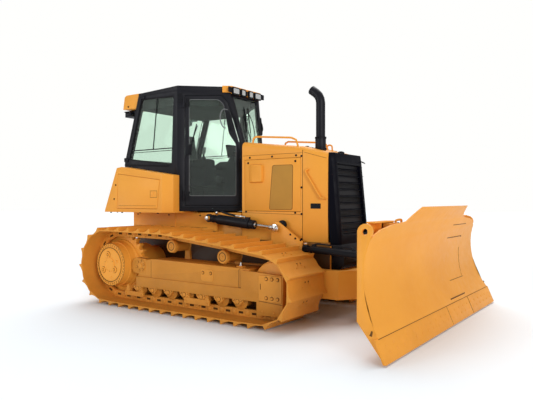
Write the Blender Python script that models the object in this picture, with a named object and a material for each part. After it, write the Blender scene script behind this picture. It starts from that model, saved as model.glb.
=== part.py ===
"""Crawler bulldozer with an angling and tilting blade, wide track shoes and a closed cab.

Frame of the machine while it is drawn: X forward from the sprocket shaft, Y to the machine's
left, Z up from the ground under the track shoes.  The empty "machine" then moves everything so
that the origin lies under the middle of the whole length.  All sizes are in metres.
"""
import math

import bmesh
import bpy
from mathutils import Matrix, Vector

for old in list(bpy.data.objects):
    bpy.data.objects.remove(old, do_unlink=True)

# ---------------------------------------------------------------- running clearances
GAP = 0.0003          # between two pieces that touch
RUNNING = 0.0006      # radial room of a shaft in its bore
FREE = 0.008          # between pieces that move past each other

# ---------------------------------------------------------------- tracks
GAUGE = 2.00          # between the two track centre lines
SHOE_WIDTH = 0.76
SHOE_THICKNESS = 0.014
GROUSER_HEIGHT = 0.046
SHOE_COUNT = 39
RAIL_HEIGHT = 0.085   # link rail, from its running face to the shoe
PIN_DEPTH = 0.043     # link pin's line above the running face
RAIL_THICKNESS = 0.036
RAIL_SPREAD = 0.090   # each rail's middle from the track's centre line
TRACK_PHASE = 0.47    # where the first shoe starts, in pitches

SPROCKET_Z = 0.528
SPROCKET_PIN_RADIUS = 0.420
IDLER_X = 2.59
IDLER_Z = 0.437
IDLER_PIN_RADIUS = 0.328
ROLLER_COUNT = 7
ROLLER_FIRST_X = 0.46
ROLLER_LAST_X = 2.14
ROLLER_RADIUS = 0.090
ROLLER_FLANGE = 0.018
CARRIER_RADIUS = 0.070
CARRIER_FLANGE = 0.014
CHORD_ROOM = 0.006    # between a roller and the rails, which turn in straight links
CARRIERS = [(1.06, 0.820), (1.90, 0.735)]    # (x, z) of each carrier roller

FRAME_HALF_WIDTH = 0.17
FRAME_TOP = 0.640
FRAME_BOTTOM = 0.375
FRAME_REAR_X = 0.46
FRAME_FRONT_X = 2.30
FORK_INNER = 0.150    # half of the room between the fork's arms, where the idler turns
GUARD_IN = 0.165      # roller guards, offsets from the track's centre line
GUARD_OUT = 0.192
GUARD_FOOT = 0.265
GUARD_HEAD = 0.395
GUARD_FRONT_X = 2.44
HOUSING_IN = 0.075    # recoil housing at the rear of the beam, on its outer side
HOUSING_CAP = (0.509, 0.541, 0.085)   # (x, z, radius) of its round cap
CARRIER_CAP_RADIUS = 0.088

HUB_RADIUS = 0.285
HUB_FACE_Y = 1.270
SPROCKET_TEETH = 27
SPROCKET_THICKNESS = 0.070

# ---------------------------------------------------------------- hull
HULL_HALF_WIDTH = 0.42
HULL_REAR_X = -0.40
HULL_FRONT_X = 2.93
HULL_BOTTOM = 0.36
HULL_DECK = 0.90      # under the engine
PLATFORM_Z = 1.235    # under the cab
PLATFORM_FRONT_X = 1.60
SHELF = 0.020         # plate under the cab and the boxes
BOX_FOOT_Z = PLATFORM_Z + GAP
CAB_FOOT_Z = BOX_FOOT_Z + SHELF + GAP
DRAWBAR_X = -0.62


SIDE_PLATE_Y = 0.500  # outer face of the plates that carry the lift cylinders
SIDE_PLATE = 0.030

# ---------------------------------------------------------------- hood
HOOD_HALF_WIDTH = 0.44
HOOD_REAR_X = 1.635
HOOD_SPLIT_X = 2.56   # side door ends here, front panel starts
HOOD_FRONT_X = 2.90
HOOD_REAR_Z = 2.17
HOOD_BREAK_Z = 2.065
HOOD_FRONT_Z = 1.975
HOOD_WALL = 0.022
HOOD_ROUND = 0.07
HOOD_POST = 0.040     # behind the side door
HOOD_LAP = 0.020      # ahead of it
HANDRAIL = [(1.76, 2.13), (1.775, 2.21), (1.82, 2.23), (2.36, 2.185), (2.43, 2.155), (2.47, 2.05)]
DOOR_SILL_Z = 1.262
DOOR_HEAD_Z = 1.93

STACK_RADIUS = 0.057
STACK_BEND = 0.16     # radius of the bend at its top
STACK_BEND_Z = 2.60
GUARD_WINDOW = (1.00, 1.84)        # foot and head of the radiator guard's opening
SLAT_COUNT = 10

# ---------------------------------------------------------------- cab
CAB_HALF_WIDTH = 0.76
CAB_REAR_X = -0.29    # up to the belt line
CAB_TAPER_X = 0.77    # the sides turn inwards from here
CAB_NOSE_X = 1.49     # foot of the windscreen
CAB_NOSE_HALF = 0.22
CAB_BELT_Z = 1.95
CAB_NOSE_Z = 2.15     # above this the windscreen leans back
CAB_WALL = 0.05
CAB_FLOOR = 0.05
DOOR_REAR_S = 0.10    # along the tapered side, from where it starts
DOOR_FRONT_S = 0.855
DOOR_TOP_S = 0.645
DOOR_FOOT_Z = 1.33
DOOR_INSET = 0.006
DOOR_THICKNESS = 0.040
DOOR_BORDER = 0.045
ROOF_UNDER_Z = 2.89
ROOF_REAR_X = 0.0
ROOF_FRONT_X = 1.338
DOOR_HEIGHT_Z = ROOF_UNDER_Z - 0.06
HINGE_S = DOOR_REAR_S - 0.010      # hinge axis, along the tapered side
HINGE_OUT = 0.0168                 # and outwards from it
HINGE_RADIUS = 0.016
HINGE_HEIGHTS = [DOOR_FOOT_Z + 0.07, DOOR_HEIGHT_Z - 0.17]     # foot of each hinge
HINGE_HALF = 0.065                 # height of each half of a hinge
GLASS = 0.008
SEAT_Z = 1.66         # under the seat's cushion
ROOF_REAR_Z = ROOF_UNDER_Z + 0.040
ROOF_TOP_Z = ROOF_UNDER_Z + 0.070
ROOF_FRONT_Z = ROOF_UNDER_Z + 0.055
FAIRING_Z = ROOF_UNDER_Z - 0.15    # underside of the rear fairing, where the rear lamps hang

# ---------------------------------------------------------------- boxes beside the cab
BOX_FACE_Y = CAB_HALF_WIDTH + 0.210
BOX_ROOM = 0.012                   # between a box and the cab
BOX_FRONT_X = 0.82
BOX_BEVEL = [(0.694, BOX_FACE_Y), (0.80, BOX_FACE_Y - 0.07)]   # (x, y) of the slanted front corner
BOX_DOOR_PLATE = 0.022
BOX_DOOR = [(-0.22, BOX_FOOT_Z + 0.05), (0.60, BOX_FOOT_Z + 0.05), (0.65, 1.679), (-0.196, 1.78)]

# ---------------------------------------------------------------- blade and its carrier
LIFT_PIVOT = (1.43, 0.50)          # (x, z)
ARM_INNER_Y = 0.500
ARM_OUTER_Y = 0.605
LIFT_BASE = (1.165, 1.165)         # (x, z) of the lift cylinder's rear pin
LIFT_EYE = (2.240, 1.062)          # (x, z) of its rod eye
LIFT_Y = 0.5525
LIFT_ROD_RADIUS = 0.0225
LIFT_LUG = 0.022                   # plate on the arm that the rod's eye is pinned to
C_FRAME_FOOT = 0.27
C_FRAME_HEAD = 0.60
ANGLE_BASE = (2.66, 0.525, 0.83)   # centre of the angle cylinder's rear joint, left side
ANGLE_EYE = (3.83, 0.550, 0.76)    # its rod eye, left side
ANGLE_RADIUS = 0.044
ANGLE_ROD_RADIUS = 0.020
GIMBAL_RADIUS = 0.042              # reach of the cross block's stub pins
GIMBAL_PIN_RADIUS = 0.016
CHEEK = 0.0045                     # half the thickness of the barrel's cheeks
GIMBAL_HALF_HEIGHT = 0.045
TILT_BASE = (3.755, -0.04, 0.96)   # tilt cylinder's pin on the mast
TILT_EYE = (3.755, 0.62, 0.98)     # its rod eye, at the blade
TILT_ROD_RADIUS = 0.018
NOSE_REAR_X = 3.16                 # rear face of the cross beam, ahead of the radiator guard
KINGPIN_X = 3.50
TILT_AXIS_Z = 0.42
BLADE_X = 3.972                    # hollow of the mouldboard at its deepest
BLADE_HOLLOW_Z = 0.80
BLADE_RADIUS_ABOVE = 0.78          # the mouldboard's curve above its deepest line
BLADE_RADIUS_BELOW = 1.00          # and below it
BLADE_FOOT = 0.22
BLADE_TOP = 1.34
BLADE_PLATE = 0.020
BLADE_FLARE = 0.18                 # how much each end spreads towards the ground
BLADE_HALF_AT_GROUND = 1.836
BLADE_EDGE_HALF_WIDTH = BLADE_HALF_AT_GROUND + 0.005
END_PLATE = 0.030
# Top line from the raised middle outwards: (inwards from the half width, below the top).
BLADE_CREST = [
    (1.070, -0.001), (0.896, 0.143), (0.556, 0.168), (0.336, 0.205), (0.236, 0.255), (0.136, 0.300),
]
END_LUG = (3.951, 1.119, 0.075)    # (x, z, radius) of the lifting lug on each end plate
LOW_BEAM = (0.37, 0.55)            # foot and head of the beams behind the mouldboard
TOP_BEAM = (0.97, 1.09)
LOW_BEAM_BACK_X = 3.935
BEAM_ROOM = 0.006                  # between a beam's end and the end plate
RIB_BACK_X = 3.90
RIB_PLACES = [0.25, 0.95]
RIB_PLATE = 0.025
EDGE_PLATE = 0.030
EDGE_TIP = (4.245, 0.016)          # (x, z) of the cutting edge's lower front corner

FRONT_X = EDGE_TIP[0]
SHIFT_X = -(FRONT_X + DRAWBAR_X) / 2

AXES = {"X": (1, 2, 0), "Y": (0, 2, 1), "Z": (0, 1, 2)}


# ---------------------------------------------------------------- materials
def material(name, color, roughness, metallic=0.0, alpha=1.0):
    mat = bpy.data.materials.new(name)
    mat.use_nodes = True
    shader = mat.node_tree.nodes["Principled BSDF"]
    shader.inputs["Base Color"].default_value = (*color, 1.0)
    shader.inputs["Roughness"].default_value = roughness
    shader.inputs["Metallic"].default_value = metallic
    shader.inputs["Alpha"].default_value = alpha
    mat.diffuse_color = (*color, alpha)
    return mat


def yellow(name):
    return material(name, (0.78, 0.36, 0.05), 0.42)


def black(name):
    return material(name, (0.015, 0.015, 0.017), 0.45)


def steel(name):
    return material(name, (0.75, 0.76, 0.78), 0.16, 1.0)


def window(name):
    return material(name, (0.30, 0.36, 0.34), 0.05, 0.0, 0.35)


# ---------------------------------------------------------------- solids
def solid(name, verts, faces):
    """An object from plain lists, its faces turned outwards."""
    mesh = bpy.data.meshes.new(name)
    mesh.from_pydata([tuple(v) for v in verts], [], faces)
    shape = bmesh.new()
    shape.from_mesh(mesh)
    bmesh.ops.recalc_face_normals(shape, faces=shape.faces)
    shape.to_mesh(mesh)
    shape.free()
    obj = bpy.data.objects.new(name, mesh)
    bpy.context.scene.collection.objects.link(obj)
    return obj


def point(axis, a, b, along):
    """Point from two coordinates across an axis and one along it."""
    first, second, third = AXES[axis]
    out = [0.0, 0.0, 0.0]
    out[first], out[second], out[third] = a, b, along
    return out


def prism(name, outline, axis, lo, hi):
    """Straight solid.  Outline pairs are (y, z) along X, (x, z) along Y and (x, y) along Z."""
    count = len(outline)
    verts = [point(axis, a, b, along) for along in (lo, hi) for a, b in outline]
    faces = [list(range(count)), list(range(count, 2 * count))]
    for i in range(count):
        j = (i + 1) % count
        faces.append([i, j, j + count, i + count])
    return solid(name, verts, faces)


def box(name, lo, hi):
    return prism(name, [(lo[0], lo[1]), (hi[0], lo[1]), (hi[0], hi[1]), (lo[0], hi[1])], "Z", lo[2], hi[2])


def loft(name, sections):
    """Solid through closed rings of points that all have the same count."""
    count = len(sections[0])
    verts = [p for ring in sections for p in ring]
    faces = [list(range(count)), list(range(len(verts) - count, len(verts)))]
    for k in range(len(sections) - 1):
        for i in range(count):
            j = (i + 1) % count
            faces.append([k * count + i, k * count + j, (k + 1) * count + j, (k + 1) * count + i])
    return solid(name, verts, faces)


def turned(name, profile, axis, center, segments=24):
    """Round solid about an axis.  Profile pairs are (along, radius); center is across the axis."""
    sections = []
    for along, radius in profile:
        ring = []
        for k in range(segments):
            angle = 2 * math.pi * (k + 0.5) / segments
            a = center[0] + radius * math.cos(angle)
            b = center[1] + radius * math.sin(angle)
            ring.append(point(axis, a, b, along))
        sections.append(ring)
    obj = loft(name, sections)
    obj.data.shade_smooth()
    obj.data.set_sharp_from_angle(angle=math.radians(35))
    return obj


def rod_between(name, start, end, radius, segments=16, lengthen=0.0):
    """Round bar from one point to another."""
    start, end = Vector(start), Vector(end)
    along = (end - start).normalized()
    side = along.orthogonal().normalized()
    other = along.cross(side)
    end = end + along * lengthen
    sections = []
    for middle in (start, end):
        ring = []
        for k in range(segments):
            angle = 2 * math.pi * (k + 0.5) / segments
            ring.append(middle + (side * math.cos(angle) + other * math.sin(angle)) * radius)
        sections.append(ring)
    return loft(name, sections)


def pipe(name, points, radius, segments=8):
    """Bent round bar through the points, mitred at each bend; radius may be a list."""
    points = [Vector(p) for p in points]
    radii = radius if isinstance(radius, list) else [radius] * len(points)
    normal = (points[1] - points[0]).orthogonal().normalized()
    sections = []
    for i, middle in enumerate(points):
        before = (middle - points[max(i - 1, 0)]).normalized() if i else (points[1] - points[0]).normalized()
        after = (points[i + 1] - middle).normalized() if i + 1 < len(points) else before
        tangent = (before + after).normalized()
        normal = (normal - tangent * normal.dot(tangent)).normalized()
        other = tangent.cross(normal)
        ring = []
        for k in range(segments):
            angle = 2 * math.pi * (k + 0.5) / segments
            ring.append(middle + (normal * math.cos(angle) + other * math.sin(angle)) * radii[i])
        sections.append(ring)
    return loft(name, sections)


def arc(center, radius, start, end, steps):
    """Points of an arc, angles in degrees."""
    out = []
    for k in range(steps + 1):
        angle = math.radians(start + (end - start) * k / steps)
        out.append((center[0] + radius * math.cos(angle), center[1] + radius * math.sin(angle)))
    return out


def eye_disc(name, middle, half, radius, axis, center):
    """Round end of a rod or barrel, as thick as twice half."""
    return turned(name, [(middle - half, radius), (middle + half, radius)], axis, center, 20)


def bore_through(name, middle, reach, pin_radius, axis, center, segments=20):
    """Tool for the bore that turns on a pin."""
    radius = pin_radius + RUNNING
    return turned(name, [(middle - reach, radius), (middle + reach, radius)], axis, center, segments)


def boolean(base, tool, operation):
    modifier = base.modifiers.new(tool.name, "BOOLEAN")
    modifier.operation = operation
    modifier.solver = "EXACT"
    modifier.object = tool
    tool.hide_render = True
    tool.display_type = "WIRE"
    return base


def join(base, *parts):
    for part in parts:
        boolean(base, part, "UNION")
    return base


def cut(base, *tools):
    for tool in tools:
        boolean(base, tool, "DIFFERENCE")
    return base


# ---------------------------------------------------------------- placing
ORIGIN = {}


def pivot(name, at, parent=None):
    """Empty on a joint's axis, at a point of the machine's frame."""
    empty = bpy.data.objects.new(name, None)
    bpy.context.scene.collection.objects.link(empty)
    ORIGIN[name] = Vector(at)
    empty.location = Vector(at)
    if parent:
        empty.parent = parent
        empty.location = Vector(at) - ORIGIN[parent.name]
    return empty


def place(obj, parent, mat=None):
    """Hang a solid and its tools on an empty, keeping it where it was drawn."""
    obj.data.transform(Matrix.Translation(-ORIGIN[parent.name]))
    obj.parent = parent
    if mat:
        obj.data.materials.append(mat)
    for modifier in obj.modifiers:
        if modifier.type == "BOOLEAN":
            place(modifier.object, parent)
    return obj


def across(side, a, b):
    """Two places across the machine on one side of it, the lower one first."""
    return sorted((side * a, side * b))


def sided(name, side):
    """Name of a piece on the right (side -1) or the left (side +1)."""
    return name + ("_right" if side < 0 else "_left")


machine = pivot("machine", (0, 0, 0))
machine.location = (SHIFT_X, 0, 0)


# ---------------------------------------------------------------- track loop
PLATE_IN = RAIL_HEIGHT - PIN_DEPTH
PLATE_OUT = PLATE_IN + SHOE_THICKNESS
TIP_OUT = PLATE_OUT + GROUSER_HEIGHT
TRACK_Y = GAUGE / 2
ROLLER_Z = TIP_OUT + PIN_DEPTH + ROLLER_RADIUS + CHORD_ROOM


def chain_wheels():
    """Circles of the pin line: (x, z, radius) of everything the chain runs round."""
    grip = PIN_DEPTH
    wheels = [(0.0, SPROCKET_Z, SPROCKET_PIN_RADIUS), (IDLER_X, IDLER_Z, IDLER_PIN_RADIUS)]
    wheels += [(x, z, CARRIER_RADIUS + grip + CHORD_ROOM) for x, z in CARRIERS]
    wheels += [(x, ROLLER_Z, ROLLER_RADIUS + grip + CHORD_ROOM) for x in (ROLLER_FIRST_X, ROLLER_LAST_X)]
    return wheels


def chain_pins():
    """Pin places round the loop that is pulled tight over the wheels."""
    steps = 1440
    loop = []
    for k in range(steps):
        angle = math.radians(-90) + 2 * math.pi * (k + 0.5) / steps
        ux, uz = math.cos(angle), math.sin(angle)
        x, z, r = max(chain_wheels(), key=lambda w: w[0] * ux + w[1] * uz + w[2])
        loop.append(Vector((x + r * ux, z + r * uz)))
    lengths = [(loop[(k + 1) % steps] - loop[k]).length for k in range(steps)]
    pitch = sum(lengths) / SHOE_COUNT
    pins = []
    travelled = 0.0
    target = TRACK_PHASE * pitch
    for k in range(steps):
        while len(pins) < SHOE_COUNT and travelled + lengths[k] >= target:
            share = (target - travelled) / lengths[k]
            pins.append(loop[k].lerp(loop[(k + 1) % steps], share))
            target += pitch
        travelled += lengths[k]
    return pins


def chain_offset(pins, i, depth):
    """Point at a depth outside the pin line, on the mitre at pin i."""
    before = (pins[i] - pins[i - 1]).normalized()
    after = (pins[(i + 1) % len(pins)] - pins[i]).normalized()
    outward = Vector((before.y + after.y, -before.x - after.x)).normalized()
    stretch = outward.dot(Vector((after.y, -after.x)))
    return pins[i] + outward * (depth / stretch)


def chain_band(name, outer, inner, rail, levels):
    """Closed band of shoes with two rails on its inner side, from near edge to far edge.

    outer holds each shoe's outline points, inner and rail one point for each pin, and levels
    the six places across: band edge, both faces of each rail, band edge.
    """
    verts = []

    def row(points, y):
        first = len(verts)
        verts.extend((p.x, y, p.y) for p in points)
        return first

    count = len(outer)
    flat = [p for points in outer for p in points]
    starts = [sum(len(points) for points in outer[:i]) for i in range(count)] + [len(flat)]
    edges = [row(flat, levels[0]), row(flat, levels[-1])]
    plate = [row(inner, y) for y in levels]
    foot = {k: row(rail, levels[k]) for k in (1, 2, 3, 4)}
    faces = []
    for i in range(count):
        j = (i + 1) % count
        for edge, band in ((edges[0], plate[0]), (edges[1], plate[-1])):
            run = [edge + k % len(flat) for k in range(starts[i], starts[i + 1] + 1)]
            faces.append(run + [band + j, band + i])
        for k in range(starts[i], starts[i + 1]):
            m = (k + 1) % len(flat)
            faces.append([edges[0] + k, edges[0] + m, edges[1] + m, edges[1] + k])
        for k in range(5):
            rows = (foot[k], foot[k + 1]) if k in (1, 3) else (plate[k], plate[k + 1])
            faces.append([rows[0] + i, rows[0] + j, rows[1] + j, rows[1] + i])
        for k in foot:
            faces.append([plate[k] + i, plate[k] + j, foot[k] + j, foot[k] + i])
    return solid(name, verts, faces)


# A shoe's outline in its own pitch: (share of the pitch, share of the grouser's height).
SHOE_OUTLINE = [(0.02, 0.0), (0.04, 1.0), (0.11, 1.0), (0.32, 0.36), (0.62, 0.0), (0.96, 0.0)]


def build_track(side):
    pins = chain_pins()
    count = len(pins)
    shoes = []
    for i in range(count):
        along = pins[(i + 1) % count] - pins[i]
        outward = Vector((along.y, -along.x)).normalized()
        shoes.append([
            pins[i] + along * share + outward * (PLATE_OUT + height * GROUSER_HEIGHT)
            for share, height in SHOE_OUTLINE
        ])
    inside = [chain_offset(pins, i, PLATE_IN) for i in range(count)]
    running = [chain_offset(pins, i, -PIN_DEPTH) for i in range(count)]
    half, rail = SHOE_WIDTH / 2, RAIL_THICKNESS / 2
    levels = [-half, -RAIL_SPREAD - rail, -RAIL_SPREAD + rail, RAIL_SPREAD - rail, RAIL_SPREAD + rail, half]
    track = chain_band(sided("track", side), shoes, inside, running, [side * TRACK_Y + y for y in levels])
    place(track, machine, yellow(track.name))


# ---------------------------------------------------------------- undercarriage
def build_sprocket(side):
    """Toothed wheel with the round final drive in its middle, out to the hub's face."""
    tip = PLATE_IN + SPROCKET_PIN_RADIUS - 0.022
    root = SPROCKET_PIN_RADIUS - 0.034
    outline = []
    step = 360 / SPROCKET_TEETH
    for k in range(SPROCKET_TEETH):
        for radius, turn in ((root, -0.5), (root, -0.30), (tip, -0.11), (tip, 0.11), (root, 0.30)):
            angle = math.radians((k + turn) * step)
            outline.append((radius * math.cos(angle), SPROCKET_Z + radius * math.sin(angle)))
    half = SPROCKET_THICKNESS / 2
    inner, outer = TRACK_Y - half, TRACK_Y + half
    wheel = prism(sided("final_drive", side), outline, "Y", *across(side, inner, outer))
    profile = [
        (HULL_HALF_WIDTH + GAP, 0.21), (0.60, 0.21), (0.62, 0.26), (inner - 0.04, 0.26),
        (inner - 0.02, 0.33), (outer + 0.015, 0.33), (outer + 0.03, 0.305),
        (1.15, HUB_RADIUS + 0.012), (HUB_FACE_Y - 0.035, HUB_RADIUS), (HUB_FACE_Y - 0.012, HUB_RADIUS),
        (HUB_FACE_Y - 0.012, 0.235), (HUB_FACE_Y, 0.225),
    ]
    hub = turned(f"hub_tool_{side}", [(side * a, r) for a, r in profile], "Y", (0.0, SPROCKET_Z), 28)
    join(wheel, hub)
    place(wheel, machine, yellow(wheel.name))


def build_idler(side):
    pins = chain_pins()
    half_pitch = (pins[1] - pins[0]).length / 2
    tread = math.sqrt(IDLER_PIN_RADIUS ** 2 - half_pitch ** 2) - PIN_DEPTH - GAP
    guide = tread + 0.022
    guide_half = RAIL_SPREAD - RAIL_THICKNESS / 2 - 0.012
    tread_half = RAIL_SPREAD + RAIL_THICKNESS / 2 + 0.006
    seat = FORK_INNER - GAP
    profile = [
        (-seat, 0.055), (-0.140, 0.055), (-0.130, 0.075), (-tread_half, 0.085), (-tread_half, tread),
        (-guide_half, tread),
        (-guide_half, guide), (guide_half, guide), (guide_half, tread), (tread_half, tread),
        (tread_half, 0.085), (0.130, 0.075), (0.140, 0.055), (seat, 0.055),
    ]
    profile = [(side * TRACK_Y + a, r) for a, r in profile]
    idler = turned(sided("idler", side), profile, "Y", (IDLER_X, IDLER_Z), 28)
    place(idler, machine, yellow(idler.name))


def roller_profile(radius, flange, half):
    rail_out = RAIL_SPREAD + RAIL_THICKNESS / 2 + 0.006
    return [
        (-half, radius * 0.62), (-rail_out - 0.02, radius * 0.70), (-rail_out - 0.005, radius + flange),
        (-rail_out, radius), (rail_out, radius), (rail_out + 0.005, radius + flange),
        (rail_out + 0.02, radius * 0.70), (half, radius * 0.62),
    ]


def build_track_frame(side):
    """Box beam with its roller guards, the idler's guard plates, all rollers and the recoil housing."""
    y0 = side * TRACK_Y
    top, foot, half = FRAME_TOP, FRAME_BOTTOM, FRAME_HALF_WIDTH
    outline = [
        (FRAME_REAR_X, foot), (FRAME_FRONT_X, foot), (FRAME_FRONT_X, top - 0.02),
        (FRAME_REAR_X + 0.28, top), (FRAME_REAR_X + 0.12, top - 0.03), (FRAME_REAR_X, top - 0.14),
    ]
    beam = prism(sided("track_frame", side), outline, "Y", y0 - half, y0 + half)
    parts = []
    front_guard = [
        (2.20, foot), (GUARD_FRONT_X - 0.02, foot), (GUARD_FRONT_X - 0.02, 0.12), (2.72, 0.125),
        (2.77, 0.15), (2.78, 0.58), (2.20, 0.605),
    ]
    for end in (-1, 1):
        lo, hi = sorted((y0 + end * GUARD_IN, y0 + end * GUARD_OUT))
        rear_corner, front_corner = (FRAME_REAR_X - 0.02, lo, GUARD_FOOT), (GUARD_FRONT_X, hi, GUARD_HEAD)
        guard = box("roller_guard_tool", rear_corner, front_corner)
        span = sorted((y0 + end * (FORK_INNER - 0.01), y0 + end * (GUARD_OUT + 0.001)))
        parts += [guard, prism("front_guard_tool", front_guard, "Y", *span)]
    pitch = (ROLLER_LAST_X - ROLLER_FIRST_X) / (ROLLER_COUNT - 1)
    for k in range(ROLLER_COUNT):
        profile = [(y0 + a, r) for a, r in roller_profile(ROLLER_RADIUS, ROLLER_FLANGE, half)]
        parts.append(turned("roller_tool", profile, "Y", (ROLLER_FIRST_X + k * pitch, ROLLER_Z), 12))
    for x, z in CARRIERS:
        profile = [(y0 + a, r) for a, r in roller_profile(CARRIER_RADIUS, CARRIER_FLANGE, 0.135)]
        parts.append(turned("carrier_tool", profile, "Y", (x, z), 12))
        cap = [(y0 + side * 0.125, CARRIER_CAP_RADIUS), (y0 + side * 0.165, CARRIER_CAP_RADIUS - 0.01)]
        parts.append(turned("carrier_cap_tool", cap, "Y", (x, z), 16))
        stand = [(x - 0.05, top - 0.04), (x + 0.05, top - 0.04), (x + 0.03, z), (x - 0.03, z)]
        parts.append(prism("stand_tool", stand, "Y", *sorted((y0 - side * 0.13, y0 - side * 0.165))))
    housing = [
        (0.60, 0.43), (0.60, 0.63), (0.42, 0.64), (0.36, 0.61), (0.335, 0.56), (0.335, 0.50), (0.37, 0.44),
    ]
    span = sorted((y0 + side * HOUSING_IN, y0 + side * (half + 0.002)))
    parts.append(prism("housing_tool", housing, "Y", *span))
    x, z, radius = HOUSING_CAP
    cap = [(y0 + side * (half - 0.02), radius), (y0 + side * (half + 0.012), radius)]
    parts.append(turned("housing_cap_tool", cap, "Y", (x, z), 20))
    join(beam, *parts)
    pocket = [(y0 - FORK_INNER, 0.318), (y0 + FORK_INNER, 0.318)]
    cut(beam, turned("pocket_tool", pocket, "Y", (IDLER_X, IDLER_Z), 24))
    place(beam, machine, yellow(beam.name))


# ---------------------------------------------------------------- hull and superstructure
def build_main_frame():
    """Hull between the tracks, its cross shafts, the lift pivots and the drawbar."""
    w = HULL_HALF_WIDTH
    side_view = [
        (HULL_REAR_X, HULL_BOTTOM + 0.10), (HULL_REAR_X + 0.15, HULL_BOTTOM),
        (HULL_FRONT_X - 0.20, HULL_BOTTOM),
        (HULL_FRONT_X, HULL_BOTTOM + 0.16), (HULL_FRONT_X, HULL_DECK), (PLATFORM_FRONT_X + 0.02, HULL_DECK),
        (PLATFORM_FRONT_X, PLATFORM_Z), (HULL_REAR_X, PLATFORM_Z),
    ]
    hull = prism("main_frame", side_view, "Y", -w, w)
    pivots = turned("pivot_tool", [(-ARM_OUTER_Y, 0.055), (ARM_OUTER_Y, 0.055)], "Y", LIFT_PIVOT, 24)
    boss_end = ARM_INNER_Y - FREE
    bosses = turned("boss_tool", [(-boss_end, 0.10), (boss_end, 0.10)], "Y", LIFT_PIVOT, 24)
    reach = TRACK_Y - FRAME_HALF_WIDTH - GAP
    shaft = turned("shaft_tool", [(-reach, 0.065), (reach, 0.065)], "Y", (0.62, 0.50), 20)
    tube = turned("tube_tool", [(-reach, 0.05), (reach, 0.05)], "Y", (1.22, 0.52), 16)
    root = HULL_REAR_X + 0.05
    draw = [(root, 0.44), (root, 0.60), (DRAWBAR_X + 0.06, 0.56), (DRAWBAR_X, 0.54), (DRAWBAR_X, 0.46)]
    drawbar = prism("drawbar_tool", draw, "Y", -0.10, 0.10)
    join(hull, pivots, bosses, shaft, tube, drawbar)
    place(hull, machine, yellow("main_frame"))


def build_side_plate(side):
    """Deep plate under the platform; its front ear carries the lift cylinder's rear pin."""
    x, z = LIFT_BASE
    rear, foot = HULL_REAR_X + 0.002, 1.00
    inner, outer = HULL_HALF_WIDTH + GAP, SIDE_PLATE_Y
    outline = [(rear, foot), (1.10, foot), (1.14, foot - 0.01), (x + 0.08, foot - 0.01)]
    outline += arc((x, z), 0.08, 0, 70, 4)
    outline += [(x + 0.02, PLATFORM_Z), (rear, PLATFORM_Z)]
    flat = [(rear, foot), (1.10, foot), (1.10, PLATFORM_Z), (rear, PLATFORM_Z)]
    plate = prism(sided("side_plate", side), flat, "Y", *across(side, inner, outer))
    ear = prism(f"ear_tool_{side}", outline, "Y", *across(side, outer, outer - SIDE_PLATE))
    shank = [(side * (outer - SIDE_PLATE), 0.028), (side * (LIFT_Y + 0.055), 0.028)]
    join(plate, ear, turned(f"pin_tool_{side}", shank, "Y", (x, z), 20))
    place(plate, machine, yellow(plate.name))


def build_rear_box(side):
    """Box over the back of the track, slanted at its rear, with a recess for its door."""
    inner, outer = CAB_HALF_WIDTH + BOX_ROOM, BOX_FACE_Y
    foot = BOX_FOOT_Z
    outline = [(-0.49, foot), (BOX_FRONT_X, foot), (BOX_FRONT_X, 1.742), (-0.122, 1.876), (-0.22, 1.863)]
    body = prism(sided("rear_box", side), outline, "Y", *across(side, inner, outer))
    (x0, y0), (x1, y1) = BOX_BEVEL
    run, rise = x1 - x0, y1 - y0
    corner = [(x0 - run, y0 - rise), (x1 + run, y1 + rise), (x1 + run, y0 - rise)]
    bevel = prism(f"bevel_tool_{side}", [(x, side * y) for x, y in corner], "Z", foot - 0.1, 2.0)
    recess = prism(f"recess_tool_{side}", BOX_DOOR, "Y", *across(side, outer - BOX_DOOR_PLATE, outer + 0.01))
    lo, hi = across(side, 0.40, inner + 0.05)
    shelf = box(f"shelf_tool_{side}", (CAB_REAR_X + 0.01, lo, foot), (BOX_FRONT_X, hi, foot + SHELF))
    cut(body, bevel, recess)
    join(body, shelf)
    place(body, machine, yellow(body.name))
    rear = BOX_DOOR[0][0]
    hinge = pivot(sided("box_door_hinge", side), (rear + 0.004, side * (outer + 0.003), 1.5), machine)
    room = 0.004
    leaf = inset(BOX_DOOR, room)
    leaf = [(max(x, rear + 2 * room), z) for x, z in leaf]
    span = across(side, outer - BOX_DOOR_PLATE + GAP, outer + 0.002)
    door_leaf = prism(sided("box_door", side), leaf, "Y", *span)
    place(door_leaf, hinge, yellow(door_leaf.name))


def build_fuel_tank():
    """Tank across the back, between the boxes and under the rear window."""
    wall = CAB_REAR_X - GAP
    outline = [(-0.50, BOX_FOOT_Z), (wall, BOX_FOOT_Z), (wall, 1.82), (wall - 0.05, 1.82), (-0.50, 1.34)]
    tank = prism("fuel_tank", outline, "Y", -CAB_HALF_WIDTH, CAB_HALF_WIDTH)
    place(tank, machine, yellow("fuel_tank"))


def hood_top(x):
    """Height of the hood's front slope at a station."""
    return HOOD_BREAK_Z + (HOOD_FRONT_Z - HOOD_BREAK_Z) * (x - HOOD_SPLIT_X) / (HOOD_FRONT_X - HOOD_SPLIT_X)


def hood_section(x, half, top, foot, rounding):
    """Half-round-shouldered cross section at a station, from one foot over the top to the other."""
    left = arc((half - rounding, top - rounding), rounding, 0, 90, 4)
    right = [(-y, z) for y, z in reversed(left)]
    return [(x, y, z) for y, z in [(half, foot)] + left + right + [(-half, foot)]]


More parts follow.
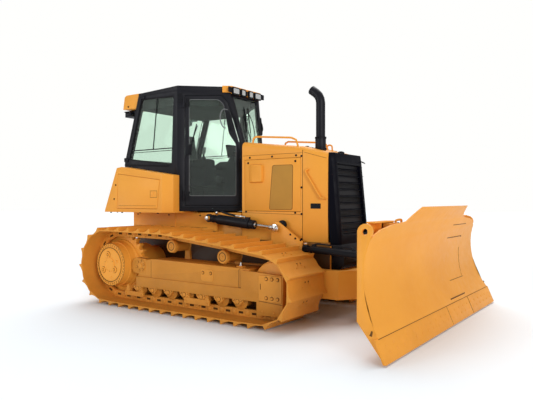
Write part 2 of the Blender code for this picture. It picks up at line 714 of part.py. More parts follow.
def build_hood():
    stations = [
        (HOOD_REAR_X, HOOD_HALF_WIDTH, HOOD_REAR_Z), (HOOD_SPLIT_X, HOOD_HALF_WIDTH, HOOD_BREAK_Z),
        (HOOD_FRONT_X, HOOD_HALF_WIDTH - 0.02, HOOD_FRONT_Z),
    ]
    foot, t = HULL_DECK + GAP, HOOD_WALL
    shell = loft("hood", [hood_section(x, half, top, foot, HOOD_ROUND) for x, half, top in stations])
    inside = [
        (HOOD_REAR_X + t, HOOD_HALF_WIDTH - t, HOOD_REAR_Z - t),
        (HOOD_SPLIT_X, HOOD_HALF_WIDTH - t, HOOD_BREAK_Z - t),
        (HOOD_FRONT_X + 0.1, HOOD_HALF_WIDTH - 0.02 - t, HOOD_FRONT_Z - t - 0.02),
    ]
    rings = [hood_section(x, half, top, foot - 0.1, HOOD_ROUND - t / 2) for x, half, top in inside]
    rear, edge = HOOD_REAR_X + HOOD_POST, HOOD_SPLIT_X - HOOD_LAP
    opening = box("opening_tool", (rear, -1, DOOR_SILL_Z), (edge, 1, DOOR_HEAD_Z))
    cut(shell, loft("hollow_tool", rings), opening)
    y = HOOD_HALF_WIDTH - 0.06
    face = HOOD_HALF_WIDTH - t - 0.0008
    parts = []
    for side in (-1, 1):
        parts.append(pipe(f"handrail_tool_{side}", [(x, side * y, z) for x, z in HANDRAIL], 0.013, 8))
        plan = [
            (edge - 0.04, face - 0.02), (edge + 0.03, face - 0.02), (edge + 0.03, face + 0.012),
            (edge + 0.005, face + 0.012), (edge + 0.005, face), (edge - 0.04, face),
        ]
        for z in (DOOR_SILL_Z + 0.08, DOOR_HEAD_Z - 0.14):
            parts.append(prism(f"stop_tool_{side}_{z}", [(x, side * b) for x, b in plan], "Z", z, z + 0.06))
    join(shell, *parts)
    place(shell, machine, yellow("hood"))


def build_engine_door(side):
    outer, edge = HOOD_HALF_WIDTH, HOOD_SPLIT_X - HOOD_LAP
    hinge = pivot(sided("engine_door_hinge", side), (edge, side * outer, 1.6), machine)
    room = 0.004
    lo, hi = across(side, outer - HOOD_WALL, outer)
    leaf = box(sided("engine_door", side), (HOOD_REAR_X + HOOD_POST + room, lo, DOOR_SILL_Z + room),
               (edge - room, hi, DOOR_HEAD_Z - room))
    place(leaf, hinge, yellow(leaf.name))


def build_engine_block():
    block = box("engine_block", (1.75, -0.30, HULL_DECK + 2 * GAP), (2.45, 0.30, 1.80))
    place(block, machine, material("engine_block", (0.06, 0.06, 0.06), 0.6))


def guard_front_x(z):
    """Front of the radiator guard, leaning back towards the hood."""
    return 3.055 - 0.093 * (z - HULL_DECK)


def build_radiator_guard():
    """Black nose: tapered shell with a recessed front and louvres."""
    def ring(z, half, rear):
        front = guard_front_x(max(z, HULL_DECK))
        side_half, front_half = half - 0.025, half - 0.055
        return [(rear, -half, z), (front - 0.03, -side_half, z), (front, -front_half, z),
                (front, front_half, z), (front - 0.03, side_half, z), (rear, half, z)]
    rear, deck = HOOD_FRONT_X + GAP, HULL_FRONT_X + GAP
    guard = loft("radiator_guard", [
        ring(HULL_DECK - 0.02, 0.42, deck), ring(HULL_DECK, 0.42, deck),
        ring(1.20, 0.42, rear), ring(1.90, 0.41, rear), ring(HOOD_FRONT_Z, 0.40, rear),
    ])
    foot, head = GUARD_WINDOW
    rings = []
    for z, half in ((foot, 0.33), (head, 0.30)):
        back, front = guard_front_x(z) - 0.05, guard_front_x(z) + 0.08
        rings.append([(back, -half, z), (front, -half, z), (front, half, z), (back, half, z)])
    cut(guard, loft("front_tool", rings))
    slats = []
    for k in range(SLAT_COUNT):
        z = foot + 0.05 + (head - foot - 0.10) * k / (SLAT_COUNT - 1)
        back, front = guard_front_x(z) - 0.06, guard_front_x(z) - 0.012
        section = [(back, z), (front - 0.005, z - 0.02), (front, z - 0.012), (back, z + 0.012)]
        slats.append(prism("slat_tool", section, "Y", -0.34, 0.34))
    join(guard, *slats)
    place(guard, machine, black("radiator_guard"))


def build_nose_beam():
    """Black guard under the radiator that closes the front of the hull."""
    rear, top = HULL_FRONT_X + GAP, HULL_DECK - 0.02 - GAP
    side_view = [(rear, 0.56), (3.06, 0.60), (3.10, 0.66), (3.10, 0.80), (3.06, top), (rear, top)]
    beam = prism("nose_beam", side_view, "Y", -0.39, 0.39)
    place(beam, machine, black("nose_beam"))


def build_exhaust():
    """Stack with its clamp, bent back at the top, open at the tip."""
    x, y = 2.70, -0.24
    path = [(x, y, HOOD_FRONT_Z)]
    path += [(a, y, b) for a, b in arc((x - STACK_BEND, STACK_BEND_Z), STACK_BEND, 0, 54, 3)]
    tip = path[-1]
    path.append((tip[0] - 0.06, y, tip[2] + 0.045))
    stack = pipe("exhaust_stack", path, STACK_RADIUS, 20)
    clamp = turned("clamp_tool", [(HOOD_FRONT_Z, 0.066), (HOOD_FRONT_Z + 0.20, 0.066)], "Z", (x, y), 20)
    lo, hi = x - 0.1, x + 0.1
    skin = [(lo, hood_top(lo) + GAP), (hi, hood_top(hi) + GAP), (hi, 1.9), (lo, 1.9)]
    bore = pipe("bore_tool", [path[1]] + path[2:] + [(tip[0] - 0.14, y, tip[2] + 0.105)], 0.050, 16)
    join(stack, clamp)
    cut(stack, bore, prism("skin_tool", skin, "Y", y - 0.1, y + 0.1))
    place(stack, machine, black("exhaust_stack"))


# ---------------------------------------------------------------- cab
TAPER = Vector((CAB_NOSE_X - CAB_TAPER_X, CAB_HALF_WIDTH - CAB_NOSE_HALF)).normalized()


def inset(outline, by):
    """Convex outline moved inwards by a distance on every side."""
    area = sum(a[0] * b[1] - b[0] * a[1] for a, b in zip(outline, outline[1:] + outline[:1]))
    turn = 1 if area > 0 else -1
    count = len(outline)
    lines = []
    for i in range(count):
        a, b = Vector(outline[i]), Vector(outline[(i + 1) % count])
        along = (b - a).normalized()
        inward = Vector((-along.y, along.x)) * turn
        lines.append((a + inward * by, along))
    out = []
    for i in range(count):
        p, d = lines[i - 1]
        q, e = lines[i]
        cross = d.x * e.y - d.y * e.x
        share = ((q.x - p.x) * e.y - (q.y - p.y) * e.x) / cross
        out.append((p.x + d.x * share, p.y + d.y * share))
    return out


def cab_rear_x(z):
    """Rear wall: upright to the belt, then leaning forward to the roof."""
    share = max(0.0, (z - CAB_BELT_Z) / (ROOF_UNDER_Z - CAB_BELT_Z))
    return CAB_REAR_X + (ROOF_REAR_X - CAB_REAR_X) * share


def cab_nose(z):
    """Front corner of the tapered side, (x, half width); it slides back along the side above the nose."""
    share = max(0.0, (z - CAB_NOSE_Z) / (ROOF_UNDER_Z - CAB_NOSE_Z))
    back = 0.20 * share
    return CAB_NOSE_X - TAPER.x * back, CAB_NOSE_HALF + TAPER.y * back


def cab_plan(z):
    rear = cab_rear_x(z)
    nose_x, nose_y = cab_nose(z)
    w = CAB_HALF_WIDTH
    return [(rear, -w), (CAB_TAPER_X, -w), (nose_x, -nose_y), (nose_x, nose_y), (CAB_TAPER_X, w), (rear, w)]


def tapered(name, side, outline, lo, hi):
    """Solid on the tapered side: outline pairs are (along the side, z), lo and hi are outwards from it."""
    along = Vector((TAPER.x, -side * TAPER.y))
    outward = Vector((TAPER.y, side * TAPER.x))
    start = Vector((CAB_TAPER_X, side * CAB_HALF_WIDTH))
    rings = []
    for depth in (lo, hi):
        rings.append([(*(start + along * s + outward * depth), z) for s, z in outline])
    return loft(name, rings)


DOOR_OUTLINE = [
    (DOOR_REAR_S, DOOR_FOOT_Z), (DOOR_FRONT_S, DOOR_FOOT_Z), (DOOR_FRONT_S, CAB_NOSE_Z),
    (DOOR_TOP_S + 0.04, DOOR_HEIGHT_Z - 0.10), (DOOR_TOP_S - 0.04, DOOR_HEIGHT_Z),
    (DOOR_REAR_S, DOOR_HEIGHT_Z),
]
SIDE_WINDOW = [
    (CAB_REAR_X + 0.09, CAB_BELT_Z + 0.04), (CAB_TAPER_X - 0.11, CAB_BELT_Z - 0.07),
    (CAB_TAPER_X - 0.07, ROOF_UNDER_Z - 0.06), (ROOF_REAR_X + 0.06, ROOF_UNDER_Z - 0.04),
]
REAR_HALF = CAB_HALF_WIDTH - 0.10
REAR_WINDOW = [
    (-REAR_HALF, CAB_BELT_Z + 0.05), (REAR_HALF, CAB_BELT_Z + 0.05),
    (REAR_HALF, ROOF_UNDER_Z - 0.09), (-REAR_HALF, ROOF_UNDER_Z - 0.09),
]
SCREEN_FOOT, SCREEN_HEAD = CAB_NOSE_HALF - 0.04, CAB_NOSE_HALF + 0.045
WINDSCREEN = [
    (-SCREEN_FOOT, CAB_NOSE_Z + 0.04), (SCREEN_FOOT, CAB_NOSE_Z + 0.04),
    (SCREEN_HEAD, ROOF_UNDER_Z - 0.07), (-SCREEN_HEAD, ROOF_UNDER_Z - 0.07),
]


def leaning_pane(name, outline, plane_x, thickness):
    """Pane whose outline is (y, z) and whose outer face lies at plane_x(z)."""
    rings = []
    for step in (0.0, thickness):
        rings.append([(plane_x(z) + step, y, z) for y, z in outline])
    return loft(name, rings)


def build_cab():
    levels = [CAB_FOOT_Z, CAB_BELT_Z, CAB_NOSE_Z, ROOF_UNDER_Z]
    shell = loft("cab_frame", [[(x, y, z) for x, y in cab_plan(z)] for z in levels])
    inner_levels = [CAB_FOOT_Z + CAB_FLOOR] + levels[1:] + [ROOF_UNDER_Z + 0.1]
    room = loft("room_tool", [[(x, y, z) for x, y in inset(cab_plan(z), CAB_WALL)] for z in inner_levels])
    side_windows = prism("side_window_tool", SIDE_WINDOW, "Y", -1, 1)
    rear_window = prism("rear_window_tool", REAR_WINDOW, "X", -0.5, 0.35)
    windscreen = prism("windscreen_tool", WINDSCREEN, "X", 1.15, 1.6)
    doorways = [tapered(f"doorway_tool_{side}", side, DOOR_OUTLINE, -0.10, 0.05) for side in (-1, 1)]
    cut(shell, room, side_windows, rear_window, windscreen, *doorways)
    for side in (-1, 1):
        for z in HINGE_HEIGHTS:
            join(shell, hinge_half(f"hinge_tool_{side}_{z}", side, z, ((0.015, HINGE_S), (-0.005, 0.010))))
    place(shell, machine, black("cab_frame"))
    under = ROOF_UNDER_Z + GAP
    roof_side = [
        (ROOF_REAR_X, under), (ROOF_FRONT_X, under), (ROOF_FRONT_X, ROOF_FRONT_Z),
        (CAB_TAPER_X, ROOF_TOP_Z), (ROOF_REAR_X, ROOF_REAR_Z),
    ]
    roof = prism("cab_roof", roof_side, "Y", -CAB_HALF_WIDTH, CAB_HALF_WIDTH)
    for side in (-1, 1):
        low, high = ROOF_UNDER_Z - 0.2, ROOF_TOP_Z + 0.2
        beyond = [(0.0, low), (0.0, high), (1.4, high), (1.4, low)]
        cut(roof, tapered(f"corner_tool_{side}", side, beyond, 0.0, 0.8))
    place(roof, machine, black("cab_roof"))
    for side in (-1, 1):
        depth = side * (CAB_HALF_WIDTH - CAB_WALL / 2)
        span = sorted((depth, depth + side * GLASS))
        pane = prism(sided("side_glass", side), inset(SIDE_WINDOW, GAP), "Y", *span)
        place(pane, machine, window(pane.name))
    back = leaning_pane("rear_glass", inset(REAR_WINDOW, GAP), lambda z: cab_rear_x(z) + 0.02, GLASS)
    place(back, machine, window("rear_glass"))
    front = leaning_pane("windscreen", inset(WINDSCREEN, GAP), lambda z: cab_nose(z)[0] - 0.02, GLASS)
    place(front, machine, window("windscreen"))


def hinge_half(name, side, foot, plate):
    """Upright knuckle with its plate; plate holds two places along the side and two outwards."""
    along = Vector((TAPER.x, -side * TAPER.y))
    outward = Vector((TAPER.y, side * TAPER.x))
    middle = Vector((CAB_TAPER_X, side * CAB_HALF_WIDTH)) + along * HINGE_S + outward * HINGE_OUT
    knuckle = turned(name, [(foot, HINGE_RADIUS), (foot + HINGE_HALF, HINGE_RADIUS)], "Z", middle, 16)
    (near, far), (lo, hi) = plate
    leaf = [(near, foot), (far, foot), (far, foot + HINGE_HALF), (near, foot + HINGE_HALF)]
    join(knuckle, tapered(name + "_plate", side, leaf, lo, hi))
    return knuckle


def build_cab_door(side):
    along = Vector((TAPER.x, -side * TAPER.y))
    outward = Vector((TAPER.y, side * TAPER.x))
    corner = Vector((CAB_TAPER_X, side * CAB_HALF_WIDTH)) + along * HINGE_S + outward * HINGE_OUT
    hinge = pivot(sided("cab_door_hinge", side), (corner.x, corner.y, 2.0), machine)
    leaf = inset(DOOR_OUTLINE, DOOR_INSET)
    door = tapered(sided("cab_door", side), side, leaf, -DOOR_THICKNESS, 0.0)
    pane = inset(leaf, DOOR_BORDER)
    cut(door, tapered(f"pane_tool_{side}", side, pane, -0.1, 0.05))
    for z in HINGE_HEIGHTS:
        foot = z + HINGE_HALF + GAP
        plate = ((HINGE_S, DOOR_REAR_S + 0.06), (0.0008, 0.012))
        strap = hinge_half(f"strap_tool_{side}_{z}", side, foot, plate)
        near, far, head = DOOR_REAR_S + 0.012, DOOR_REAR_S + 0.055, foot + HINGE_HALF
        pad = [(near, foot), (far, foot), (far, head), (near, head)]
        join(door, strap, tapered(f"pad_tool_{side}_{z}", side, pad, -0.01, 0.006))
    place(door, hinge, black(door.name))
    glass = tapered(sided("door_glass", side), side, inset(pane, GAP), -0.024, -0.024 + GLASS)
    place(glass, hinge, window(glass.name))


def build_roof_fairings():
    """Yellow fairing across the back of the roof, the lamps under it, and the lamp pods at the front."""
    foot, wall = FAIRING_Z, ROOF_REAR_X - GAP
    half = CAB_HALF_WIDTH - 0.04
    rear_side = [
        (wall - 0.377, foot), (cab_rear_x(foot) - GAP, foot), (wall, ROOF_UNDER_Z), (wall, ROOF_FRONT_Z),
        (wall - 0.30, ROOF_FRONT_Z), (wall - 0.345, ROOF_FRONT_Z - 0.025),
    ]
    rear = prism("rear_fairing", rear_side, "Y", -half, half)
    under_half = half - 0.30
    cut(rear, box("under_tool", (-0.5, -under_half, foot - 0.1), (-0.07, under_half, ROOF_UNDER_Z + 0.01)))
    place(rear, machine, yellow("rear_fairing"))
    for side in (-1, 1):
        lo, hi = across(side, half - 0.16, half - 0.10)
        bar = box(sided("rear_lamp", side), (-0.30, lo, foot - 0.04), (-0.12, hi, foot - GAP))
        inner, outer = half - 0.22, half - 0.04
        face = [(inner, foot - 0.11), (outer, foot - 0.11), (outer, foot - 0.02), (inner, foot - 0.02)]
        near, far = inner + 0.02, outer - 0.02
        back = [(near, foot - 0.09), (far, foot - 0.09), (far, foot - 0.015), (near, foot - 0.015)]
        rings = [[(x, side * y, z) for y, z in ring] for x, ring in ((-0.38, face), (-0.28, back))]
        join(bar, loft(f"lamp_tool_{side}", rings))
        place(bar, machine, black(bar.name))
        build_lamp_pod(side)


def build_lamp_pod(side):
    """Cap wrapped round a front corner of the roof, with two work lamps looking forward."""
    rear, front = ROOF_FRONT_X + GAP, ROOF_FRONT_X + 0.035
    along_side = (rear - CAB_TAPER_X) / TAPER.x
    corner = CAB_HALF_WIDTH - TAPER.y * along_side
    behind = Vector((CAB_TAPER_X, CAB_HALF_WIDTH)) + Vector((TAPER.x, -TAPER.y)) * (along_side - 0.10)
    outward = Vector((TAPER.y, TAPER.x))
    plan = [
        (rear, 0.012), (front, 0.012), (front, corner - 0.004), behind + outward * 0.030,
        behind + outward * 0.005, (rear, corner + 0.008),
    ]
    foot = ROOF_UNDER_Z - 0.025
    pod = prism(sided("front_lamps", side), [(x, side * y) for x, y in plan], "Z", foot, foot + 0.09)
    for near, far in ((0.043, 0.133), (0.18, 0.32)):
        lo, hi = across(side, near, far)
        join(pod, box("front_lamp_tool", (rear + 0.01, lo, foot - 0.015), (front + 0.012, hi, foot + 0.075)))
    place(pod, machine, yellow(pod.name))


def build_seat():
    """Pedestal, cushion and back of the operator's seat with its arm consoles; and the dash."""
    floor = CAB_FOOT_Z + CAB_FLOOR + GAP
    foot = [(0.28, floor), (0.80, floor), (0.76, SEAT_Z), (0.30, SEAT_Z)]
    pedestal = prism("seat_base", foot, "Y", -0.24, 0.24)
    for side in (-1, 1):
        lo, hi = across(side, 0.20, 0.46)
        join(pedestal, box("console_tool", (0.28, lo, 1.60), (0.98, hi, 1.86)))
        lo, hi = across(side, 0.30, 0.42)
        join(pedestal, box("console_leg_tool", (0.30, lo, floor), (0.60, hi, 1.62)))
    place(pedestal, machine, black("seat_base"))
    low = SEAT_Z + GAP
    cushion = [
        (0.30, low), (0.84, low), (0.86, 1.76), (0.42, 1.76), (0.30, 2.42), (0.20, 2.42), (0.26, 1.74),
    ]
    seat = prism("seat", cushion, "Y", -0.195, 0.195)
    place(seat, machine, material("seat", (0.03, 0.03, 0.035), 0.8))
    column = [(1.10, floor), (1.40, floor), (1.42, 1.98), (1.24, 2.02), (1.16, 1.90)]
    dash = prism("dashboard", column, "Y", -0.20, 0.20)
    place(dash, machine, black("dashboard"))


# ---------------------------------------------------------------- blade carrier
def build_c_frame():
    """Two arms beside the hull, joined by a nose with the kingpin plates."""
    lift = pivot("lift_pivot", (LIFT_PIVOT[0], 0, LIFT_PIVOT[1]), machine)
    lug = [(2.12, 0.55)] + arc(LIFT_EYE, 0.075, 190, 60, 6) + [(2.61, 0.905), (2.61, 0.75), (2.68, 0.55)]
    plan = [
        (2.95, ARM_OUTER_Y), (3.14, ARM_OUTER_Y), (3.46, 0.14), (3.40, 0.0), (NOSE_REAR_X, 0.0),
        (NOSE_REAR_X, 0.44), (NOSE_REAR_X - 0.03, ARM_INNER_Y), (2.95, ARM_INNER_Y),
    ]
    foot, head = C_FRAME_FOOT, C_FRAME_HEAD
    x, y, z = ANGLE_BASE
    parts = []
    for side in (-1, 1):
        arm = arc(LIFT_PIVOT, 0.10, 90, 270, 8) + [(2.80, foot), (3.10, foot), (3.10, head), (1.9, head)]
        lo, hi = across(side, ARM_INNER_Y, ARM_OUTER_Y)
        parts.append(prism(f"arm_tool_{side}", arm, "Y", lo, hi))
        parts.append(prism(f"lug_tool_{side}", lug, "Y", *across(side, ARM_INNER_Y, ARM_INNER_Y + LIFT_LUG)))
        parts.append(prism(f"beam_tool_{side}", [(a, side * b) for a, b in plan], "Z", foot, head))
        post_top = z - GIMBAL_HALF_HEIGHT - GAP
        parts.append(box(f"pedestal_tool_{side}", (x - 0.05, lo, head - 0.01), (x + 0.05, hi, post_top)))
        shank = [(head, 0.020), (z + GIMBAL_HALF_HEIGHT + 0.012, 0.020)]
        parts.append(turned(f"angle_pin_tool_{side}", shank, "Z", (x, side * y), 16))
    for z0, z1 in ((0.20, 0.25), (0.62, 0.67)):
        plate = [(3.20, -0.13)] + arc((KINGPIN_X, 0), 0.10, -80, 80, 8) + [(3.20, 0.13)]
        parts.append(prism("nose_plate_tool", plate, "Z", z0, z1))
    parts.append(box("nose_block_tool", (3.20, -0.12, 0.20), (3.34, 0.12, 0.67)))
    parts.append(turned("kingpin_tool", [(0.19, 0.05), (0.68, 0.05)], "Z", (KINGPIN_X, 0), 24))
    frame = parts[0]
    join(frame, *parts[1:])
    cut(frame, bore_through("arm_bore_tool", 0.0, 0.7, 0.055, "Y", LIFT_PIVOT, 24))
    frame.name = "c_frame"
    place(frame, lift, yellow("c_frame"))
    return lift


def build_pivot_mast(lift):
    """Block on the kingpin with the trunnion that carries the blade and the upright mast."""
    kingpin = pivot("kingpin", (KINGPIN_X, 0, TILT_AXIS_Z), lift)
    block = turned("pivot_mast", [(0.25 + FREE, 0.085), (0.62 - FREE, 0.085)], "Z", (KINGPIN_X, 0), 24)
    neck = box("neck_tool", (KINGPIN_X, -0.075, 0.25 + FREE), (3.66, 0.075, 0.62 - FREE))
    upright = [(3.625, 0.30), (3.70, 0.30), (3.70, 1.04), (3.66, 1.07), (3.625, 1.04)]
    mast = prism("mast_tool", upright, "Y", -0.11, 0.11)
    trunnion = turned("trunnion_tool", [(3.68, 0.06), (3.86, 0.06)], "X", (0, TILT_AXIS_Z), 24)
    shelf = box("shelf_tool", (3.68, -0.10, 0.90), (3.715, 0.02, 1.02))
    pin = turned("tilt_pin_tool", [(3.69, 0.022), (3.80, 0.022)], "X", TILT_BASE[1:], 16)
    join(block, neck, mast, trunnion, shelf, pin)
    cut(block, bore_through("kingpin_bore_tool", 0.45, 0.35, 0.05, "Z", (KINGPIN_X, 0), 24))
    place(block, kingpin, yellow("pivot_mast"))
    return kingpin


def mouldboard_x(z):
    """Front of the mouldboard at a height."""
    radius = BLADE_RADIUS_ABOVE if z > BLADE_HOLLOW_Z else BLADE_RADIUS_BELOW
    return BLADE_X + radius - math.sqrt(radius ** 2 - (z - BLADE_HOLLOW_Z) ** 2)


def blade_half(z):
    """Half of the blade's width at a height; its ends spread towards the ground."""
    return BLADE_HALF_AT_GROUND - BLADE_FLARE * z


def steps_between(lo, hi, count):
    return [lo + (hi - lo) * k / count for k in range(count + 1)]


BOARD_HEIGHTS = steps_between(BLADE_FOOT, BLADE_TOP, 14)


def board_back_x(z):
    """What stands behind the mouldboard's flat strips ends here."""
    for low, high in zip(BOARD_HEIGHTS, BOARD_HEIGHTS[1:]):
        if z <= high:
            share = (z - low) / (high - low)
            return mouldboard_x(low) * (1 - share) + mouldboard_x(high) * share - BLADE_PLATE - GAP
    return mouldboard_x(BLADE_TOP) - BLADE_PLATE - GAP


def edge_back_x(z):
    """Rear face of the cutting edge at a height, less the room to what it is bolted to."""
    share = (BLADE_FOOT - z) / (BLADE_FOOT - EDGE_TIP[1])
    foot = mouldboard_x(BLADE_FOOT) - EDGE_PLATE
    return foot + (EDGE_TIP[0] - EDGE_PLATE - foot) * share - 2 * GAP


def build_blade(kingpin):
    """Mouldboard with its end plates, and the cutting edge under it."""
    tilt = pivot("tilt_pivot", (KINGPIN_X, 0, TILT_AXIS_Z), kingpin)
    section = [(mouldboard_x(z), z) for z in BOARD_HEIGHTS]
    section += [(x - BLADE_PLATE, z) for x, z in reversed(section)]
    board = loft("blade", [[(x, side * blade_half(z), z) for x, z in section] for side in (-1, 1)])
    left = [(BLADE_HALF_AT_GROUND - a, BLADE_TOP - b) for a, b in BLADE_CREST]
    left += [(BLADE_HALF_AT_GROUND + 0.4, BLADE_TOP - 0.34), (BLADE_HALF_AT_GROUND + 0.4, BLADE_TOP + 0.3)]
    above = left + [(-y, z) for y, z in reversed(left)]
    cut(board, prism("above_tool", above, "X", 3.7, 4.6))
    lug_x, lug_z, lug_radius = END_LUG
    low = 0.05
    plate = [(3.942, 0.341)] + arc((lug_x, lug_z), lug_radius, 172, -30, 9)
    plate += [(mouldboard_x(z) - 0.002, z) for z in reversed(steps_between(BLADE_FOOT, 1.05, 9))]
    plate += [(edge_back_x(z), z) for z in (BLADE_FOOT, low)]
    ends = []
    for side in (-1, 1):
        rings = []
        for inwards in (-0.001, END_PLATE):
            rings.append([(x, side * (blade_half(z) - inwards), z) for x, z in plate])
        ends.append(loft("end_plate_tool", rings))
    join(board, *ends)
    cut(board, turned("lug_hole_tool", [(-2, 0.030), (2, 0.030)], "Y", (lug_x, lug_z), 16))
    place(board, tilt, yellow("blade"))
    foot_x = mouldboard_x(BLADE_FOOT)
    tx, tz = EDGE_TIP
    head = BLADE_FOOT - GAP
    edge = [(foot_x, head), (foot_x - EDGE_PLATE, head), (tx - EDGE_PLATE, tz), (tx, tz)]
    cutting = prism("cutting_edge", edge, "Y", -BLADE_EDGE_HALF_WIDTH, BLADE_EDGE_HALF_WIDTH)
    place(cutting, tilt, material("cutting_edge", (0.74, 0.34, 0.05), 0.5))
    return tilt


def behind_board(lo, hi, back):
    """Outline between two heights whose front follows the back of the mouldboard."""
    heights = [lo] + [z for z in BOARD_HEIGHTS if lo < z < hi] + [hi]
    return [(back, hi), (back, lo)] + [(board_back_x(z), z) for z in heights]


def build_blade_frame(tilt):
    """Beams and ribs behind the mouldboard, the trunnion's socket and the cylinders' brackets."""
    (low_foot, low_head), (top_foot, top_head) = LOW_BEAM, TOP_BEAM
    low_half = blade_half(low_head) - END_PLATE - BEAM_ROOM
    top_half = blade_half(top_head) - END_PLATE - BEAM_ROOM
    frame = prism("blade_frame", behind_board(low_foot, low_head, LOW_BEAM_BACK_X), "Y", -low_half, low_half)
    parts = [prism("top_beam_tool", behind_board(top_foot, top_head, RIB_BACK_X), "Y", -top_half, top_half)]
    rib = behind_board(BLADE_FOOT + 0.02, BLADE_TOP - 0.18, RIB_BACK_X)
    rib[1:2] = [(RIB_BACK_X, BLADE_FOOT + 0.08), (RIB_BACK_X + 0.10, BLADE_FOOT + 0.02)]
    for side in (-1, 1):
        for y in RIB_PLACES:
            parts.append(prism("rib_tool", rib, "Y", *across(side, y, y + RIB_PLATE)))
        x, y, z = ANGLE_EYE
        lo, hi = across(side, y - 0.06, y + 0.06)
        for under, over in ((z - 0.078, z - 0.064), (z + 0.064, z + 0.078)):
            front = BLADE_X - BLADE_PLATE - 0.002
            parts.append(box("angle_plate_tool", (x - 0.05, lo, under), (front, hi, over)))
        parts.append(prism("angle_web_tool", behind_board(0.50, 1.00, RIB_BACK_X + 0.002), "Y", lo, hi))
    x, y, z = TILT_EYE
    parts.append(box("tilt_arm_tool", (x + 0.045, y - 0.045, z - 0.05), (RIB_BACK_X + 0.04, y + 0.045, 1.15)))
    parts.append(box("tilt_bridge_tool", (x - 0.06, y - 0.045, z + 0.065), (x + 0.06, y + 0.045, z + 0.085)))
    parts.append(box("tilt_ear_tool", (x - 0.06, y - 0.045, z - 0.05), (x - 0.045, y + 0.045, z + 0.08)))
    parts.append(turned("socket_tool", [(3.74, 0.12), (3.975, 0.12)], "X", (0, TILT_AXIS_Z), 24))
    join(frame, *parts)
    bore = [(3.6, 0.06 + RUNNING), (3.87, 0.06 + RUNNING)]
    cut(frame, turned("socket_bore_tool", bore, "X", (0, TILT_AXIS_Z), 24))
    place(frame, tilt, yellow("blade_frame"))


# ---------------------------------------------------------------- cylinders
def build_lift_cylinder(side):
    base = Vector((LIFT_BASE[0], side * LIFT_Y, LIFT_BASE[1]))
    eye = Vector((LIFT_EYE[0], side * LIFT_Y, LIFT_EYE[1]))
    along = (eye - base).normalized()
    swivel = pivot(sided("lift_cylinder_pin", side), base, machine)
    barrel = rod_between(sided("lift_barrel", side), base + along * 0.05, base + along * 0.76, 0.048, 20)
    join(barrel, eye_disc(f"lift_eye_tool_{side}", base.y, 0.022, 0.055, "Y", (base.x, base.z)))
    bore = bore_through(f"lift_bore_tool_{side}", base.y, 0.1, 0.028, "Y", (base.x, base.z))
    inside = LIFT_ROD_RADIUS + RUNNING
    hollow = rod_between(f"lift_hollow_tool_{side}", base + along * 0.42, base + along * 0.90, inside, 16)
    cut(barrel, bore, hollow)
    place(barrel, swivel, black(barrel.name))
    slide = pivot(sided("lift_rod_slide", side), eye, swivel)
    rod = rod_between(sided("lift_rod", side), base + along * 0.66, eye, LIFT_ROD_RADIUS, 16)
    join(rod, eye_disc(f"lift_tip_tool_{side}", eye.y, 0.024, 0.048, "Y", (eye.x, eye.z)))
    place(rod, slide, steel(rod.name))


def build_angle_cylinder(side, lift):
    """Cross block on its upright pin, barrel that pitches on the block, and the rod."""
    base = Vector((ANGLE_BASE[0], side * ANGLE_BASE[1], ANGLE_BASE[2]))
    eye = Vector((ANGLE_EYE[0], side * ANGLE_EYE[1], ANGLE_EYE[2]))
    along = (eye - base).normalized()
    sideways = Vector((0, 0, 1)).cross(along).normalized()
    up = along.cross(sideways)
    yaw = pivot(sided("angle_yaw_pin", side), base, lift)
    block = eye_disc(sided("angle_block", side), base.z, GIMBAL_HALF_HEIGHT, 0.034, "Z", base.xy)
    reach = sideways * GIMBAL_RADIUS
    join(block, rod_between(f"stub_tool_{side}", base - reach, base + reach, GIMBAL_PIN_RADIUS, 12))
    cut(block, bore_through(f"block_bore_tool_{side}", base.z, 0.2, 0.020, "Z", base.xy, 16))
    place(block, yaw, black(block.name))
    pitch = pivot(sided("angle_pitch_pin", side), base, yaw)
    root, mouth = base + along * 0.075, base + along * 0.74
    barrel = rod_between(sided("angle_barrel", side), root, mouth, ANGLE_RADIUS, 20)
    for end in (-1, 1):
        middle = base + sideways * end * 0.040
        thick, tall = sideways * CHEEK, up * 0.026
        square = [-thick - tall, thick - tall, thick + tall, tall - thick]
        rings = [[middle + along * step + corner for corner in square] for step in (-0.024, 0.10)]
        join(barrel, loft(f"cheek_tool_{side}_{end}", rings))
    reach, room = sideways * 0.1, GIMBAL_PIN_RADIUS + RUNNING
    pitch_bore = rod_between(f"pitch_bore_tool_{side}", base - reach, base + reach, room, 12)
    inside = ANGLE_ROD_RADIUS + RUNNING
    hollow = rod_between(f"angle_hollow_tool_{side}", base + along * 0.16, base + along * 0.90, inside, 16)
    cut(barrel, pitch_bore, hollow)
    place(barrel, pitch, black(barrel.name))
    slide = pivot(sided("angle_rod_slide", side), eye, pitch)
    rod = rod_between(sided("angle_rod", side), eye - along * 0.70, eye, ANGLE_ROD_RADIUS, 16)
    join(rod, eye_disc(f"angle_tip_tool_{side}", eye.z, 0.028, 0.040, "Z", eye.xy))
    place(rod, slide, steel(rod.name))


